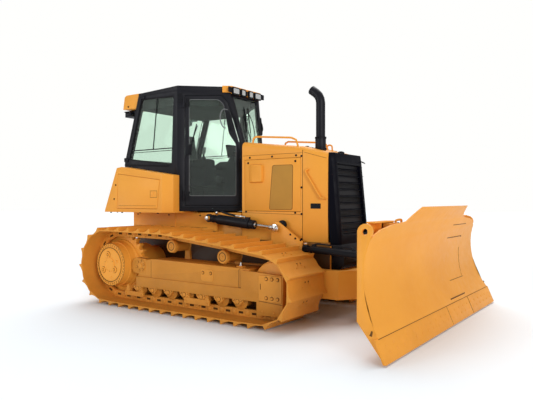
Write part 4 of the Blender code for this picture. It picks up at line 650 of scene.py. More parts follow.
def hub_details(s, label):
    """Bolted rim, planet covers and plugs on the final drive's face."""
    body, dark = Shape("hub_fittings_" + label, YELLOW), Shape("hub_marks_" + label, SEAM_AND_SHADE)
    out = (0, s, 0)
    x0, z0 = SPROCKET[:2]
    rim = s * HUB_FACE
    marked_bolts(body, dark, [(x, rim, z) for x, z in ring_places((x0, z0), 0.26, 40)], out,
                 0.0095, 0.008, 0.0145, 10)
    dark.turned((x0, rim + s * 0.0118, z0), out, ring_profile(0.229, 0.234), 40)
    dark.turned((x0, rim, z0), out, ring_profile(0.2855, 0.289), 40)
    face = rim + s * 0.012
    body.cap((x0, face, z0), out, 0.212, [(0.004, 0.208)], 40)
    face += s * 0.004
    body.cap((x0, face, z0), out, 0.1, [(0.007, 0.1), (0.009, 0.096), (0.009, 0.08), (0.004, 0.076)], 32)
    for x, z in ((-0.03, 0.135), (-0.126, -0.077), (0.103, -0.06)):
        x, z = x0 + x, z0 + z
        body.cap((x, face, z), out, 0.042, [(0.012, 0.04), (0.014, 0.037), (0.014, 0.024), (0.008, 0.021)])
        body.bolt((x, face + s * 0.006, z), out, 0.013, 0.01)
        dark.turned((x, face + s * 0.0072, z), out, spot(0.02), 14)
        dark.turned((x, face, z), out, ring_profile(0.0415, 0.0465))
    body.bolt((x0 + 0.144, face, z0 + 0.05), out, 0.018, 0.012, washer=True)
    body.bolt((x0 + 0.03, face, z0 - 0.165), out, 0.013, 0.01)
    for x, z in ring_places((x0, z0), 0.088, 3, 0.3):
        dark.turned((x, face + s * 0.0095, z), out, spot(0.005), 10)
    body.turned((x0, s * 1.15, z0), out, [(-0.004, 0.3015), (0.006, 0.3015), (0.008, 0.298)], 40)


def track_frame_details(s, label):
    """Covers, seams, roller mounts, chain guides and bolts on the outer side of a track frame."""
    shade_sheet = Shape("roller_shade_sheet_" + label, SHADE_FILL)
    body = Shape("frame_covers_" + label, SHADED_TRACK, bevel=0.002)
    seam = Shape("frame_seams_" + label, SEAM_AND_SHADE)
    bolts = Shape("frame_bolts_" + label, SHADED_TRACK)
    zinc = Shape("grease_valve_" + label, STEEL)
    out = (0, s, 0)
    face, cap_face, guard = s * FRAME_FACE, s * CAP_FACE, s * 1.193

    # Seams and cover on the side of the frame.
    seam.line([(0.7, 0.395), (0.7, 0.618)], face, s)
    seam.line([(2.15, 0.395), (2.15, 0.6), (2.17, 0.614)], face, s)
    seam.line([(2.15, 0.4), (2.27, 0.4)], face, s, 0.004)
    body.plate(panel(1.571, 0.43, 1.762, 0.572, 0.035), face - s * SINK, s * 0.007)
    marked_bolts(bolts, seam, [(x, face + s * 0.005, 0.53) for x in (1.605, 1.728)], out,
                 0.014, 0.01, 0.022)

    # Cap of the rear pivot.
    x, z, cap = 0.509, 0.541, s * 1.182
    marked_bolts(bolts, seam, [(bx, cap, bz) for bx, bz in ring_places((x, z), 0.064, 6, 0.25)], out,
                 0.0105, 0.009, 0.0155, 10)
    body.cap((x, cap, z), out, 0.036, [(0.01, 0.034), (0.012, 0.026)])

    # Carrier rollers, then the track rollers with their mounts.
    for x, z in CARRIERS:
        body.cap((x, s * 1.165, z), out, 0.07, [(0.003, 0.068), (0.003, 0.058), (-0.001, 0.056)], 28)
        bolts.bolt((x, s * 1.164, z), out, 0.012, 0.008)
        seam.turned((x, s * 1.1655, z), out, ring_profile(0.045, 0.055), 28)
    first, last, count = ROLLERS
    for k in range(count):
        x = first + (last - first) * k / (count - 1)
        mount = [(x - 0.085, 0.275), (x + 0.085, 0.275), (x + 0.075, 0.238), (x + 0.036, 0.206),
                 (x - 0.036, 0.206), (x - 0.075, 0.238)]
        body.plate(rounded(mount, 0.012, 2), s * 1.15, s * 0.034)
        body.cap((x, cap_face, 0.236), out, 0.026, [(0.006, 0.026), (0.008, 0.022)], 16)
        seam.turned((x, cap_face, 0.236), out, ring_profile(0.026, 0.031), 16)
        marked_bolts(bolts, seam, [(x + dx, cap_face, 0.256) for dx in (-0.055, 0.055)], out,
                     0.011, 0.009, 0.016, 10)
    # Dark sheet behind the rollers: painted shade in the gaps between them.
    shade_sheet.plate(rectangle(0.4, 0.14, 2.42, 0.372), s * 1.0, s * 0.006)

    # Chain guides between the rollers.
    for x0, x1, low, high in ((0.205, 0.56, 0.13, 0.188), (1.3, 1.71, 0.135, 0.205)):
        body.plate(panel(x0, low, x1, high, 0.012, 2), s * 1.158, s * 0.026)
        for x in (x0 + 0.05, x1 - 0.05):
            leg = [(x - 0.045, low + 0.02), (x + 0.045, low + 0.02), (x + 0.015, 0.272), (x - 0.015, 0.272)]
            body.plate(leg, s * 1.152, s * 0.022)
        for x in (x0 + 0.03, x1 - 0.03):
            bolts.bolt((x, cap_face, (low + high) / 2), out, 0.009, 0.007)

    # Guard beside the idler, and the grease valve.
    body.plate(panel(2.454, 0.286, 2.763, 0.569, 0.012, 2), guard - s * SINK, s * 0.01)
    places = [(x, guard + s * 0.008, z) for z in (0.322, 0.535) for x in (2.56, 2.636, 2.712)]
    marked_bolts(bolts, seam, places, out, 0.016, 0.012, 0.023)
    seam.line([(2.455, 0.278), (2.765, 0.262)], guard, s, 0.006)
    seam.line([(2.48, 0.415), (2.48, 0.47)], guard + s * 0.008, s, 0.01)
    for x in (2.5, 2.66):
        bolts.bolt((x, guard, 0.165), out, 0.012, 0.008)
    body.block((2.075, s * 1.06, 0.6), (2.165, s * 1.12, 0.64))
    valve = [(0, 0.02), (0.012, 0.02), (0.014, 0.01), (0.04, 0.01), (0.046, 0.006)]
    zinc.turned((2.12, s * 1.09, 0.638), UP, valve, 12)


# ---------------- hull, boxes and rear
def side_details(s, label):
    """Pins, bolts and latches along the side between the track and the cab."""
    seam = Shape("side_seams_" + label, SEAM_AND_SHADE)
    latch = Shape("box_door_line_" + label, SEAM_AND_SHADE, "box_door_body_" + label)
    handle = Shape("box_latch_" + label, YELLOW, "box_door_body_" + label, 0.002)
    black = Shape("side_screws_" + label, BOLT_BLACK)
    zinc = Shape("lift_pin_head_" + label, STEEL)
    rib = Shape("side_rib_" + label, YELLOW, bevel=0.002)
    out = (0, s, 0)
    hull, face, leaf = s * HULL_HALF, s * BOX_FACE, s * (BOX_FACE + 0.002)
    zinc.cap((LIFT_PIN[0], s * 0.6075, LIFT_PIN[1]), out, 0.03, [(0.01, 0.028), (0.012, 0.022)])
    black.button((1.114, hull, 1.205), out, 0.014)
    for x in (-0.3, 0.35, 0.95):
        black.button((x, hull, 1.195), out, 0.011)
    rib.plate(rectangle(0.47, 1.0, 0.482, 1.225), s * 0.498, s * 0.01)
    seam.line([(-0.38, 1.03), (1.08, 1.03)], hull, s, 0.004)
    for x, z in ((-0.239, 1.62), (-0.274, 1.421)):
        black.button((x, face, z), out, 0.012)
    for x in (-0.36, -0.12, 0.25, 0.6):
        black.bolt((x, s * 0.955, 1.2353), (0, 0, -1), 0.013, 0.012)
    outline = rectangle(0.47, 1.442, 0.6, 1.53)
    latch.line(outline + outline[:1], leaf, s)
    latch.line([(-0.175, 1.328), (0.575, 1.328)], leaf, s, 0.003)
    handle.plate(panel(0.484, 1.47, 0.53, 1.516, 0.006, 2), leaf - s * SINK, s * 0.008)
    handle.plate(panel(0.545, 1.46, 0.588, 1.512, 0.006, 2), leaf - s * SINK, s * 0.005)


def rear_details():
    """Filler cap, steps, tail lamps, tow pin and hatch lines at the back."""
    yellow, black = Shape("rear_handles", YELLOW), Shape("rear_fittings", BOLT_BLACK)
    seam, red = Shape("rear_seams", SEAM_AND_SHADE), Shape("tail_lamp_lenses", RED)
    zinc, lens = Shape("tow_pin", STEEL), Shape("rear_lamp_lenses", LENS)
    filler = [(-0.03, 0.048), (0.012, 0.048), (0.022, 0.042), (0.022, 0.03), (0.03, 0.026)]
    black.turned((-0.405, 0.42, 1.6), (-0.94, 0, 0.34), filler, 24)
    for y in (-0.5, -0.17, 0.17, 0.5):
        seam.block((-0.501, y - 0.0025, 1.25), (-0.499, y + 0.0025, 1.335))
    handle = [(-0.44, 1.48), (-0.52, 1.46), (-0.5, 1.6), (-0.455, 1.72), (-0.395, 1.7)]
    for s, _ in SIDES:
        black.cap((-0.49, s * 0.885, 1.3), BACK, 0.046, [(0.01, 0.046), (0.012, 0.04)], 24)
        red.turned((-0.501, s * 0.885, 1.3), BACK, [(-0.004, 0.038), (0.004, 0.034), (0.007, 0.02)], 24)
        yellow.tube([(x, s * 0.66, z) for x, z in handle], 0.011, 10, 3)
        for z in (1.32, 1.23):
            black.bolt((-0.5, s * 0.72, z), BACK, 0.012)
        black.bolt((-0.259, s * 0.72, 2.772), (0, s, 0), 0.013)
        black.bolt((-0.377, s * 0.6, 2.8), BACK, 0.011)
        lens.plate(rectangle(-0.3835, 2.64, -0.3795, 2.712), s * 0.52, s * 0.14)
        zinc.turned((-0.56, s * 0.012, 0.556), UP, [(0, 0.001), (0.001, 0.001)], 6)
    zinc.turned((-0.56, 0, 0.545), UP, [(-0.02, 0.026), (0.02, 0.026), (0.024, 0.022)])
    zinc.turned((-0.56, 0, 0.455), UP, [(-0.03, 0.022), (0.02, 0.022)])
    seam.block((-0.401, -0.36, 0.66), (-0.399, 0.36, 0.664))
    for y in (-0.34, 0.34):
        for z in (0.56, 0.76, 0.96, 1.16):
            black.bolt((-0.4, y, z), BACK, 0.013)


# ---------------- hood and radiator guard
def hood_face(x):
    """Half width of the hood's side at a station; the front panel narrows."""
    bend_x, narrowing, over = 2.56, 0.02, 0.34
    return HOOD_HALF - narrowing * max(0.0, x - bend_x) / over


def hood_details(s, label):
    """Seams, screws, rail and blank plate on the hood's side, and the fittings of its door."""
    door = "engine_door_body_" + label
    seam, screws = Shape("hood_seams_" + label, SEAM_AND_SHADE), Shape("hood_screws_" + label, BOLT_BLACK)
    rail, plate = Shape("hood_side_rail_" + label, YELLOW), Shape("blank_plate_" + label, PLASTIC)
    scoop = Shape("air_scoop_" + label, YELLOW, door, 0.005, 3)
    door_screws = Shape("engine_door_screws_" + label, BOLT_BLACK, door)
    mesh = Shape("engine_door_mesh_" + label, MESH, door)
    rim = Shape("engine_door_mesh_rim_" + label, SEAM_AND_SHADE, door)
    out = (0, s, 0)
    face = s * HOOD_HALF
    seam.line([(1.65, 1.983), (2.556, 1.983)], face, s, 0.004)
    seam.line([(1.65, 1.243), (2.556, 1.228)], face, s, 0.004)
    seam.line([(2.562, 0.92), (2.562, 2.014)], face, s, 0.006)
    for x, z in ((1.76, 1.955), (2.111, 1.955), (2.469, 1.955), (2.546, 1.943), (2.548, 1.56),
                 (1.7, 1.255), (2.457, 1.25), (2.548, 1.236), (2.548, 0.93)):
        screws.button((x, face, z), out, 0.0135)
    for x, z in ((1.733, 1.886), (2.459, 1.885)):
        door_screws.button((x, face, z), out, 0.0135)

    # Crease under the shoulder of the front panel, drawn as a dark strip: painted shade.
    (x0, z0), (x1, z1) = (2.58, 1.989), (2.885, 1.904)
    rear, front = s * (hood_face(x0) - SINK), s * (hood_face(x1) - SINK)
    seam.slab([(x0, rear, z0 - 0.002), (x1, front, z1 - 0.002), (x1, front, z1 + 0.002),
               (x0, rear, z0 + 0.002)], (0, s * 0.003, 0))

    # Slanted grab rail with its feet.
    y = s * 0.458
    low_y = y - s * 0.006
    rail.tube([(2.64, s * 0.425, 1.778), (2.634, y, 1.776), (2.612, y, 1.758), (2.625, y, 1.728)], 0.01)
    rail.tube([(2.614, y, 1.744), (2.8, low_y, 1.462)], 0.01, smooth=0)
    rail.tube([(2.794, low_y, 1.471), (2.822, low_y, 1.434), (2.862, y - s * 0.008, 1.428),
               (2.876, s * 0.415, 1.428)], 0.01)
    for x, z in ((2.64, 1.778), (2.874, 1.428)):
        rail.cap((x, s * hood_face(x), z), out, 0.022, [(0.006, 0.02)], 16)
    plate.slab([(x, s * (hood_face(x) - 0.001), z) for x, z in panel(2.672, 1.303, 2.806, 1.366, 0.006, 2)],
               (0, s * 0.0035, 0))

    # Air scoop and mesh window of the door.
    foot = panel(1.752, 1.628, 1.976, 1.866, 0.028)
    head = [(x + (0.052 if x < 1.86 else -0.012), 1.747 + (z - 1.747) * 0.9) for x, z in foot]
    scoop.loft([[(x, face + s * proud, z) for x, z in outline]
                for outline, proud in ((foot, -SINK), (foot, 0.004), (head, 0.034))])
    window = rounded([(2.071, 1.29), (2.411, 1.29), (2.42, 1.84), (2.121, 1.842)], 0.03, 4)
    mesh.plate(window, face - s * 0.001, s * 0.0025)
    grown = [(x + (0.005 if x > 2.25 else -0.005), z + (0.005 if z > 1.56 else -0.005)) for x, z in window]
    rim.border(grown, window, lambda x, z, proud: (x, face + s * proud, z), -0.001, 0.0022)


def hood_top_details():
    """Caps, lift eye, screws and the exhaust stack's collars on top of the hood."""
    black, yellow = Shape("hood_caps", PLASTIC), Shape("hood_lift_eyes", YELLOW)
    seam = Shape("hood_top_seam", SEAM_AND_SHADE)
    black.turned((2.8, 0.1, 1.992), UP, [(-0.01, 0.045), (0.018, 0.045), (0.026, 0.038), (0.026, 0.026),
                                         (0.032, 0.022)], 24)
    black.turned((2.3, 0.1, 2.097), UP, [(-0.01, 0.028), (0.02, 0.028), (0.024, 0.022)])
    seam.block((2.5585, -0.372, 2.065), (2.5615, 0.372, 2.0662))
    eye = [(2.64, 2.035), (2.645, 2.085), (2.68, 2.105), (2.715, 2.085), (2.72, 2.015)]
    yellow.tube([(x, 0.02, z) for x, z in eye], 0.01)
    for y in (-0.3, 0.3):
        black.button((2.62, y, 2.048), UP, 0.012)
    black.turned((2.7, -0.24, 2.175), UP, [(-0.012, 0.071), (0.008, 0.071)], 28)
    black.turned((2.7, -0.24, 2.035), UP, [(-0.01, 0.074), (0.012, 0.074)], 28)
    black.bolt((2.7, -0.316, 2.175), RIGHT, 0.01, 0.014)


def guard_details():
    """Mesh behind the louvres, the side seams, the top trim and the small visor of the radiator guard."""
    mesh, trim = Shape("radiator_mesh", GRILLE), Shape("guard_trim", PLASTIC, bevel=0.001)
    bolts, seam = Shape("nose_bolts", BOLT_BLACK), Shape("nose_seam", RUBBER)

    def front(z):
        return 3.055 - 0.093 * (z - 0.9)

    sheet = ((-0.052, -0.328), (-0.052, 0.328), (-0.044, 0.328), (-0.044, -0.328))
    mesh.loft([[(front(z) + x, y, z) for x, y in sheet] for z in (1.004, 1.836)])
    for s, _ in SIDES:
        edge = [(2.905, 1.712), (2.962, 1.708), (2.962, 1.714), (2.905, 1.718)]
        trim.plate(edge, s * 0.4135, s * 0.002)
        for z in (1.02, 1.42, 1.82):
            trim.button((front(z) - 0.001, s * 0.345, z), (1, 0, -0.09), 0.009)
    trim.slab([(2.962, 0.335, 1.907), (2.99, 0.35, 1.898), (2.985, 0.42, 1.884), (2.955, 0.4, 1.9)],
              (0, 0, -0.012))
    for z in (0.985, 1.853):
        trim.block((front(z) - 0.002, -0.33, z - 0.006), (front(z) + 0.004, 0.33, z + 0.006))
    seam.block((3.058, -0.385, 0.715), (3.101, 0.385, 0.719))
    for y in (-0.34, -0.2, 0.2, 0.34):
        bolts.bolt((3.1, y, 0.73), FORWARD, 0.014, washer=True)


# ---------------- cab
def taper_place(s):
    """Gives a function from (along the tapered side, z, outwards) to a point."""
    return lambda a, z, o: (TAPER_X + TAPER[0] * a + TAPER[1] * o,
                            s * (CAB_HALF - TAPER[1] * a + TAPER[0] * o), z)


def cab_door_details(s, label):
    """Frame band round the pane with its pale edge, wiper, handles, hinge plates and their bolts."""
    door = "cab_door_body_" + label
    band, edge = Shape("door_band_" + label, BLACK, door), Shape("pane_edge_" + label, GREY, door)
    black = Shape("door_fittings_" + label, PLASTIC, door, 0.002)
    grey = Shape("door_grab_loop_" + label, GREY, door)
    fixed = Shape("hinge_plates_" + label, PLASTIC, bevel=0.0015)
    sill = Shape("door_sill_" + label, PLASTIC, bevel=0.002)
    place = taper_place(s)
    out = (TAPER[1], s * TAPER[0], 0)

    def on_taper(shape, outline, low, high):
        shape.loft([[place(a, z, level) for a, z in outline] for level in (low, high)])

    outer = [(0.14, 2.79), (0.6, 2.79), (0.65, 2.71), (0.77, 2.29), (0.815, 2.14), (0.815, 1.37),
             (0.14, 1.37)]
    pane = [(0.158, 2.772), (0.56, 2.772), (0.628, 2.705), (0.7, 2.31), (0.797, 2.165),
            (0.797, 1.462), (0.158, 1.462)]
    inner = rounded(pane, 0.03, 4)
    band.border(rounded(outer, 0.004, 4), inner, place, -0.013, 0.0015)
    edge.border(inner, shrunk(inner, (0.478, 2.117), 0.984, 0.991), place, -0.01, 0.0022)

    # Wiper with its motor, then the handle, the lock and the grab loop.
    motor = [(0.145, 2.02), (0.19, 2.015), (0.205, 2.15), (0.165, 2.165)]
    on_taper(black, rounded(motor, 0.014), -0.014, 0.034)
    for points in ([(0.18, 2.12, 0.03), (0.225, 2.27, 0.022), (0.272, 2.415, 0.006)],
                   [(0.19, 2.165, 0.002), (0.262, 2.44, 0.002)]):
        black.tube([place(*p) for p in points], 0.0065, 8, 0)
    black.tube([place(0.11, 2.0, 0.01), place(0.14, 2.03, 0.012), place(0.165, 2.045, 0.016)], 0.006, 8)
    handle = [(0.672, 2.59), (0.7, 2.615), (0.722, 2.56), (0.772, 2.4), (0.762, 2.345), (0.735, 2.345),
              (0.668, 2.48)]
    on_taper(black, rounded(handle, 0.02), 0.0015, 0.04)
    on_taper(black, panel(0.8, 1.79, 0.832, 1.945, 0.01), -0.002, 0.026)
    on_taper(black, panel(0.285, 2.2, 0.335, 2.252, 0.01), -0.06, -0.03)
    loop = [(0.655, 2.385), (0.612, 2.41), (0.58, 2.5), (0.592, 2.6), (0.632, 2.64), (0.68, 2.632)]
    grey.tube([place(a, z, -0.004) for a, z in loop], 0.0075, 8)

    # Hinge leaves on the door and their plates on the cab, and the sill below.
    for foot in (1.4, 2.66):
        on_taper(black, panel(0.112, foot + 0.004, 0.165, foot + 0.126, 0.008, 2), 0.006, 0.013)
        for z in (foot + 0.028, foot + 0.065, foot + 0.102):
            black.bolt(place(0.14, z, 0.013), out, 0.009)
    for low, high, near, far in ((2.69, 2.862, 0.004, 0.07), (1.45, 1.612, -0.055, 0.07)):
        plate = [(near, low + 0.02), (far, low), (far, high), (near, high - 0.02)]
        on_taper(fixed, rounded(plate, 0.012, 2), -0.002, 0.008)
        for z in (low + 0.035, (low + high) / 2, high - 0.035):
            fixed.bolt(place(0.034, z, 0.008), out, 0.01)
    on_taper(sill, panel(-0.02, 1.268, 0.88, 1.3, 0.008, 2), -0.002, 0.01)
    on_taper(sill, panel(-0.02, 1.305, 0.88, 1.318, 0.004, 2), -0.002, 0.005)


def side_window_details(s, label):
    """Gasket, divider and rail of the sliding window, and the trim along the belt."""
    gasket, bars = Shape("side_gasket_" + label, RUBBER), Shape("window_bars_" + label, RUBBER)
    black = Shape("belt_trim_" + label, PLASTIC, bevel=0.002)
    corners = [(-0.2, 1.99), (0.66, 1.88), (0.7, 2.83), (0.06, 2.85)]
    middle = [sum(values) / 4 for values in zip(*corners)]
    gasket.border(rounded(corners, 0.02), rounded(shrunk(corners, middle, 0.965, 0.965), 0.03),
                  lambda x, z, o: (x, s * (CAB_HALF + o), z), -0.02, -0.012)
    for x0, z0, x1, z1, wide in ((0.373, 2.828, 0.29, 2.11, 0.014), (-0.165, 2.119, 0.675, 2.119, 0.014),
                                 (-0.165, 2.088, 0.675, 2.088, 0.008)):
        along = Vector((x1 - x0, z1 - z0)).normalized() * wide / 2
        bars.plate([(x0 - along.y, z0 + along.x), (x0 + along.y, z0 - along.x),
                    (x1 + along.y, z1 - along.x), (x1 - along.y, z1 + along.x)], s * 0.7445, s * 0.008)
    for x, z in ((-0.022, 2.412), (-0.032, 2.366)):
        bars.turned((x, s * 0.743, z), (0, s, 0), [(-0.001, 0.009), (0.006, 0.008)], 12)
    black.plate(rounded([(-0.286, 1.93), (0.6, 1.885), (0.6, 1.868), (-0.286, 1.905)], 0.004, 1),
                s * 0.758, s * 0.012)
    black.plate(panel(-0.295, 1.96, -0.215, 2.02, 0.012), s * 0.75, s * 0.022)
    black.plate(panel(0.04, 2.845, 0.14, 2.885, 0.008), s * 0.755, s * 0.02)


def cab_front_x(z):
    """Outer face of the windscreen wall at a height."""
    lower_x, lean, bend_z, over = 1.49, 0.16, 2.15, 0.74
    return lower_x - lean * max(0.0, (z - bend_z) / over)


def cab_front_details():
    """Windscreen wipers, grab loops beside it, and the work lamps in their pods."""
    black, bezel = Shape("wipers", PLASTIC), Shape("lamp_bezels", PLASTIC, bevel=0.002)
    lens, rear = Shape("work_lamp_lenses", LENS), Shape("rear_lamp_brackets", BLACK, bevel=0.002)
    for y0, y1, y2 in ((-0.055, -0.085, -0.06), (0.01, 0.055, 0.03)):
        points = [(2.23, y0, 0.02), (2.33, y1, 0.022), (2.48, y1, 0.016), (2.6, y2, 0.006)]
        black.tube([(cab_front_x(z) + o, y, z) for z, y, o in points], 0.006, 8)
        black.tube([(cab_front_x(z) - 0.008, y2 + (z - 2.6) * 0.12, z) for z in (2.34, 2.7)], 0.007, 6, 0)
    loop = [(2.395, 0.262, 0.0), (2.405, 0.292, 0.03), (2.47, 0.302, 0.034), (2.535, 0.292, 0.026),
            (2.55, 0.268, -0.004)]
    pod, rim = 1.3735, 1.3875
    for s, _ in SIDES:
        black.tube([(cab_front_x(z) + o - 0.03, s * y, z) for z, y, o in loop], 0.008)
        bezel.across(panel(0.014, 2.862, 0.41, 2.938, 0.012, 2), s, pod - 0.002, pod + 0.003)
        for near, far in ((0.043, 0.133), (0.18, 0.32)):
            bezel.across(panel(near - 0.006, 2.843, far + 0.006, 2.944, 0.014), s, pod - 0.01, rim)
            lens.across(panel(near + 0.01, 2.86, far - 0.01, 2.928, 0.01), s, rim - 0.001, rim + 0.002)
        rear.block((-0.365, s * 0.47, 2.7), (-0.315, s * 0.71, 2.712))
    black.block((1.33, -0.012, 2.868), (1.372, 0.012, 2.93))


def roof_details():
    """Ribs pressed into the roof."""
    ribs = Shape("roof_ribs", BLACK, bevel=0.002)
    for y in (-0.46, -0.23, 0.0, 0.23, 0.46):
        ribs.slab([(0.1, y - 0.03, 2.93), (0.72, y - 0.03, 2.9535), (0.72, y + 0.03, 2.9535),
                   (0.1, y + 0.03, 2.93)], (0, 0, 0.004))


# ---------------- inside the cab
def freeze(obj):
    """Replaces an object's mesh by what its modifiers make of it."""
    graph = bpy.context.evaluated_depsgraph_get()
    graph.update()
    made = bpy.data.meshes.new_from_object(obj.evaluated_get(graph))
    obj.modifiers.clear()
    obj.data = made


def inflate(obj):
    """Blows the pad up as cloth, then holds every point within a distance of where it began."""
    start = [v.co.copy() for v in obj.data.vertices]
    cloth = obj.modifiers.new("cloth", "CLOTH")
    cloth.settings.use_pressure = True
    cloth.settings.uniform_pressure_force = PAD_PRESSURE
    cloth.settings.effector_weights.gravity = 0
    for number in range(1, PAD_FRAMES + 1):
        bpy.context.scene.frame_set(number)
    freeze(obj)
    bpy.context.scene.frame_set(1)
    for vertex, home in zip(obj.data.vertices, start):
        move = vertex.co - home
        if move.length > PAD_LIMIT:
            vertex.co = home + move.normalized() * PAD_LIMIT


class Pad(Shape):
    """Closed pad, remeshed fine enough for cloth and blown up inside its cover."""

    def build(self):
        obj = add_object(self.name, self.mesh())
        remesh = obj.modifiers.new("remesh", "REMESH")
        remesh.mode, remesh.voxel_size = "VOXEL", PAD_VOXEL
        freeze(obj)
        inflate(obj)
        smooth = obj.modifiers.new("smooth", "SUBSURF")
        smooth.levels = smooth.render_levels = 1
        obj.data.shade_smooth()
        obj.data.materials.clear()
        obj.data.materials.append(self.mat)
        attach(obj, self.body)
        if self.name == "seat_cushion":
            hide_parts("seat")


def seat_pads():
    """Cushion and back of the operator's seat."""
    seat, back = Pad("seat_cushion", SEAT), Pad("seat_back", SEAT)
    base = [(0.34, -0.17), (0.8, -0.178), (0.8, 0.178), (0.34, 0.17)]
    seat.loft([[(x, y, z) for x, y in base] for z in (1.678, 1.742)])
    spine = ((0.262, 0.345, 0.165, 1.79), (0.232, 0.312, 0.17, 2.06), (0.222, 0.278, 0.12, 2.395))
    back.loft([[(x0, -half, z), (x1, -half, z), (x1, half, z), (x0, half, z)]
               for x0, x1, half, z in spine])


def cab_inside():
    """Seat trim, controls, screen, pedals, mats and the roof lining."""
    roof = Shape("roof_lining", LINING, bevel=0.015, segments=3)
    black, grey = Shape("cab_controls", PLASTIC, bevel=0.003), Shape("lever_grips", GREY)
    mats = Shape("cab_mats", RUBBER)

    def mat(x0, y0, x1, y1):
        mats.block((x0, y0, FLOOR_Z), (x1, y1, FLOOR_Z + 0.003))

    # Piping, back plate and base plate of the seat.
    piping = rounded([(0.335, -0.172), (0.806, -0.18), (0.806, 0.18), (0.335, 0.172)], 0.03)
    black.tube([(x, y, 1.712) for x, y in piping + piping[:1]], 0.004, 6, 0)
    black.block((0.205, -0.15, 1.665), (0.235, 0.15, 2.3))
    black.block((0.3, -0.18, 1.6605), (0.83, 0.18, 1.676))

    # Armrest, control pod and lever on each side.
    lever_x, lever_y = 0.86, 0.33
    boot = [(0, 0.045), (0.012, 0.04), (0.04, 0.016), (0.08, 0.012)]
    grip = ((0.0, 2.045, 0.014), (0.006, 2.07, 0.022), (0.012, 2.11, 0.024), (0.02, 2.14, 0.019),
            (0.024, 2.15, 0.01))
    shroud = panel(0.225, 1.855, 0.455, 1.985, 0.035)
    for s, _ in SIDES:
        black.across(panel(0.235, 1.862, 0.43, 1.905, 0.015), s, 0.33, 0.76)
        black.loft([[(x, s * y, 1.855 + (z - 1.855) * k) for y, z in shroud]
                    for x, k in ((0.56, 0.55), (0.68, 1.0), (0.96, 0.95), (0.978, 0.85))])
        black.turned((lever_x, s * lever_y, 1.975), UP, boot, 16)
        grey.loft([[(x, y, z) for x, y in ring_places((lever_x + dx, s * lever_y), radius, 12)]
                   for dx, z, radius in grip])
        mat(-0.228, s * 0.1, 0.245, s * 0.69)
    mat(0.866, -0.186, 1.095, 0.186)

    # Screen on its stalk, pedals and lining.
    black.slab([(1.15, -0.15, 2.0), (1.15, 0.11, 2.0), (1.11, 0.11, 2.18), (1.11, -0.15, 2.18)],
               (0.03, 0, 0.008))
    grey.slab([(1.1485, -0.135, 2.016), (1.1485, 0.095, 2.016), (1.112, 0.095, 2.165),
               (1.112, -0.135, 2.165)], (-0.002, 0, 0))
    black.tube([(1.25, -0.02, 1.99), (1.2, -0.02, 2.06), (1.16, -0.02, 2.09)], 0.016)
    for y in (-0.09, 0.09):
        black.slab([(1.01, y - 0.035, 1.36), (1.075, y - 0.035, 1.46), (1.075, y + 0.035, 1.46),
                    (1.01, y + 0.035, 1.36)], (0.008, 0, -0.005))
    lining = [(-0.05, -0.68), (0.74, -0.68), (1.17, -0.355), (1.17, 0.355), (0.74, 0.68), (-0.05, 0.68)]
    roof.loft([[(x, y, z) for x, y in lining] for z in (2.7, 2.886)])


# ---------------- cylinders, push frame and blade
def side_cylinder(base, eye, s):
    """Direction of a cylinder, and a function from (along, above, inwards) to a point."""
    base = Vector(base)
    along = (Vector(eye) - base).normalized()
    above, inwards = Vector((-along.z, 0, along.x)).normalized(), Vector((0, -s, 0))
    return along, lambda a, b=0.0, c=0.0: base + along * a + above * b + inwards * c


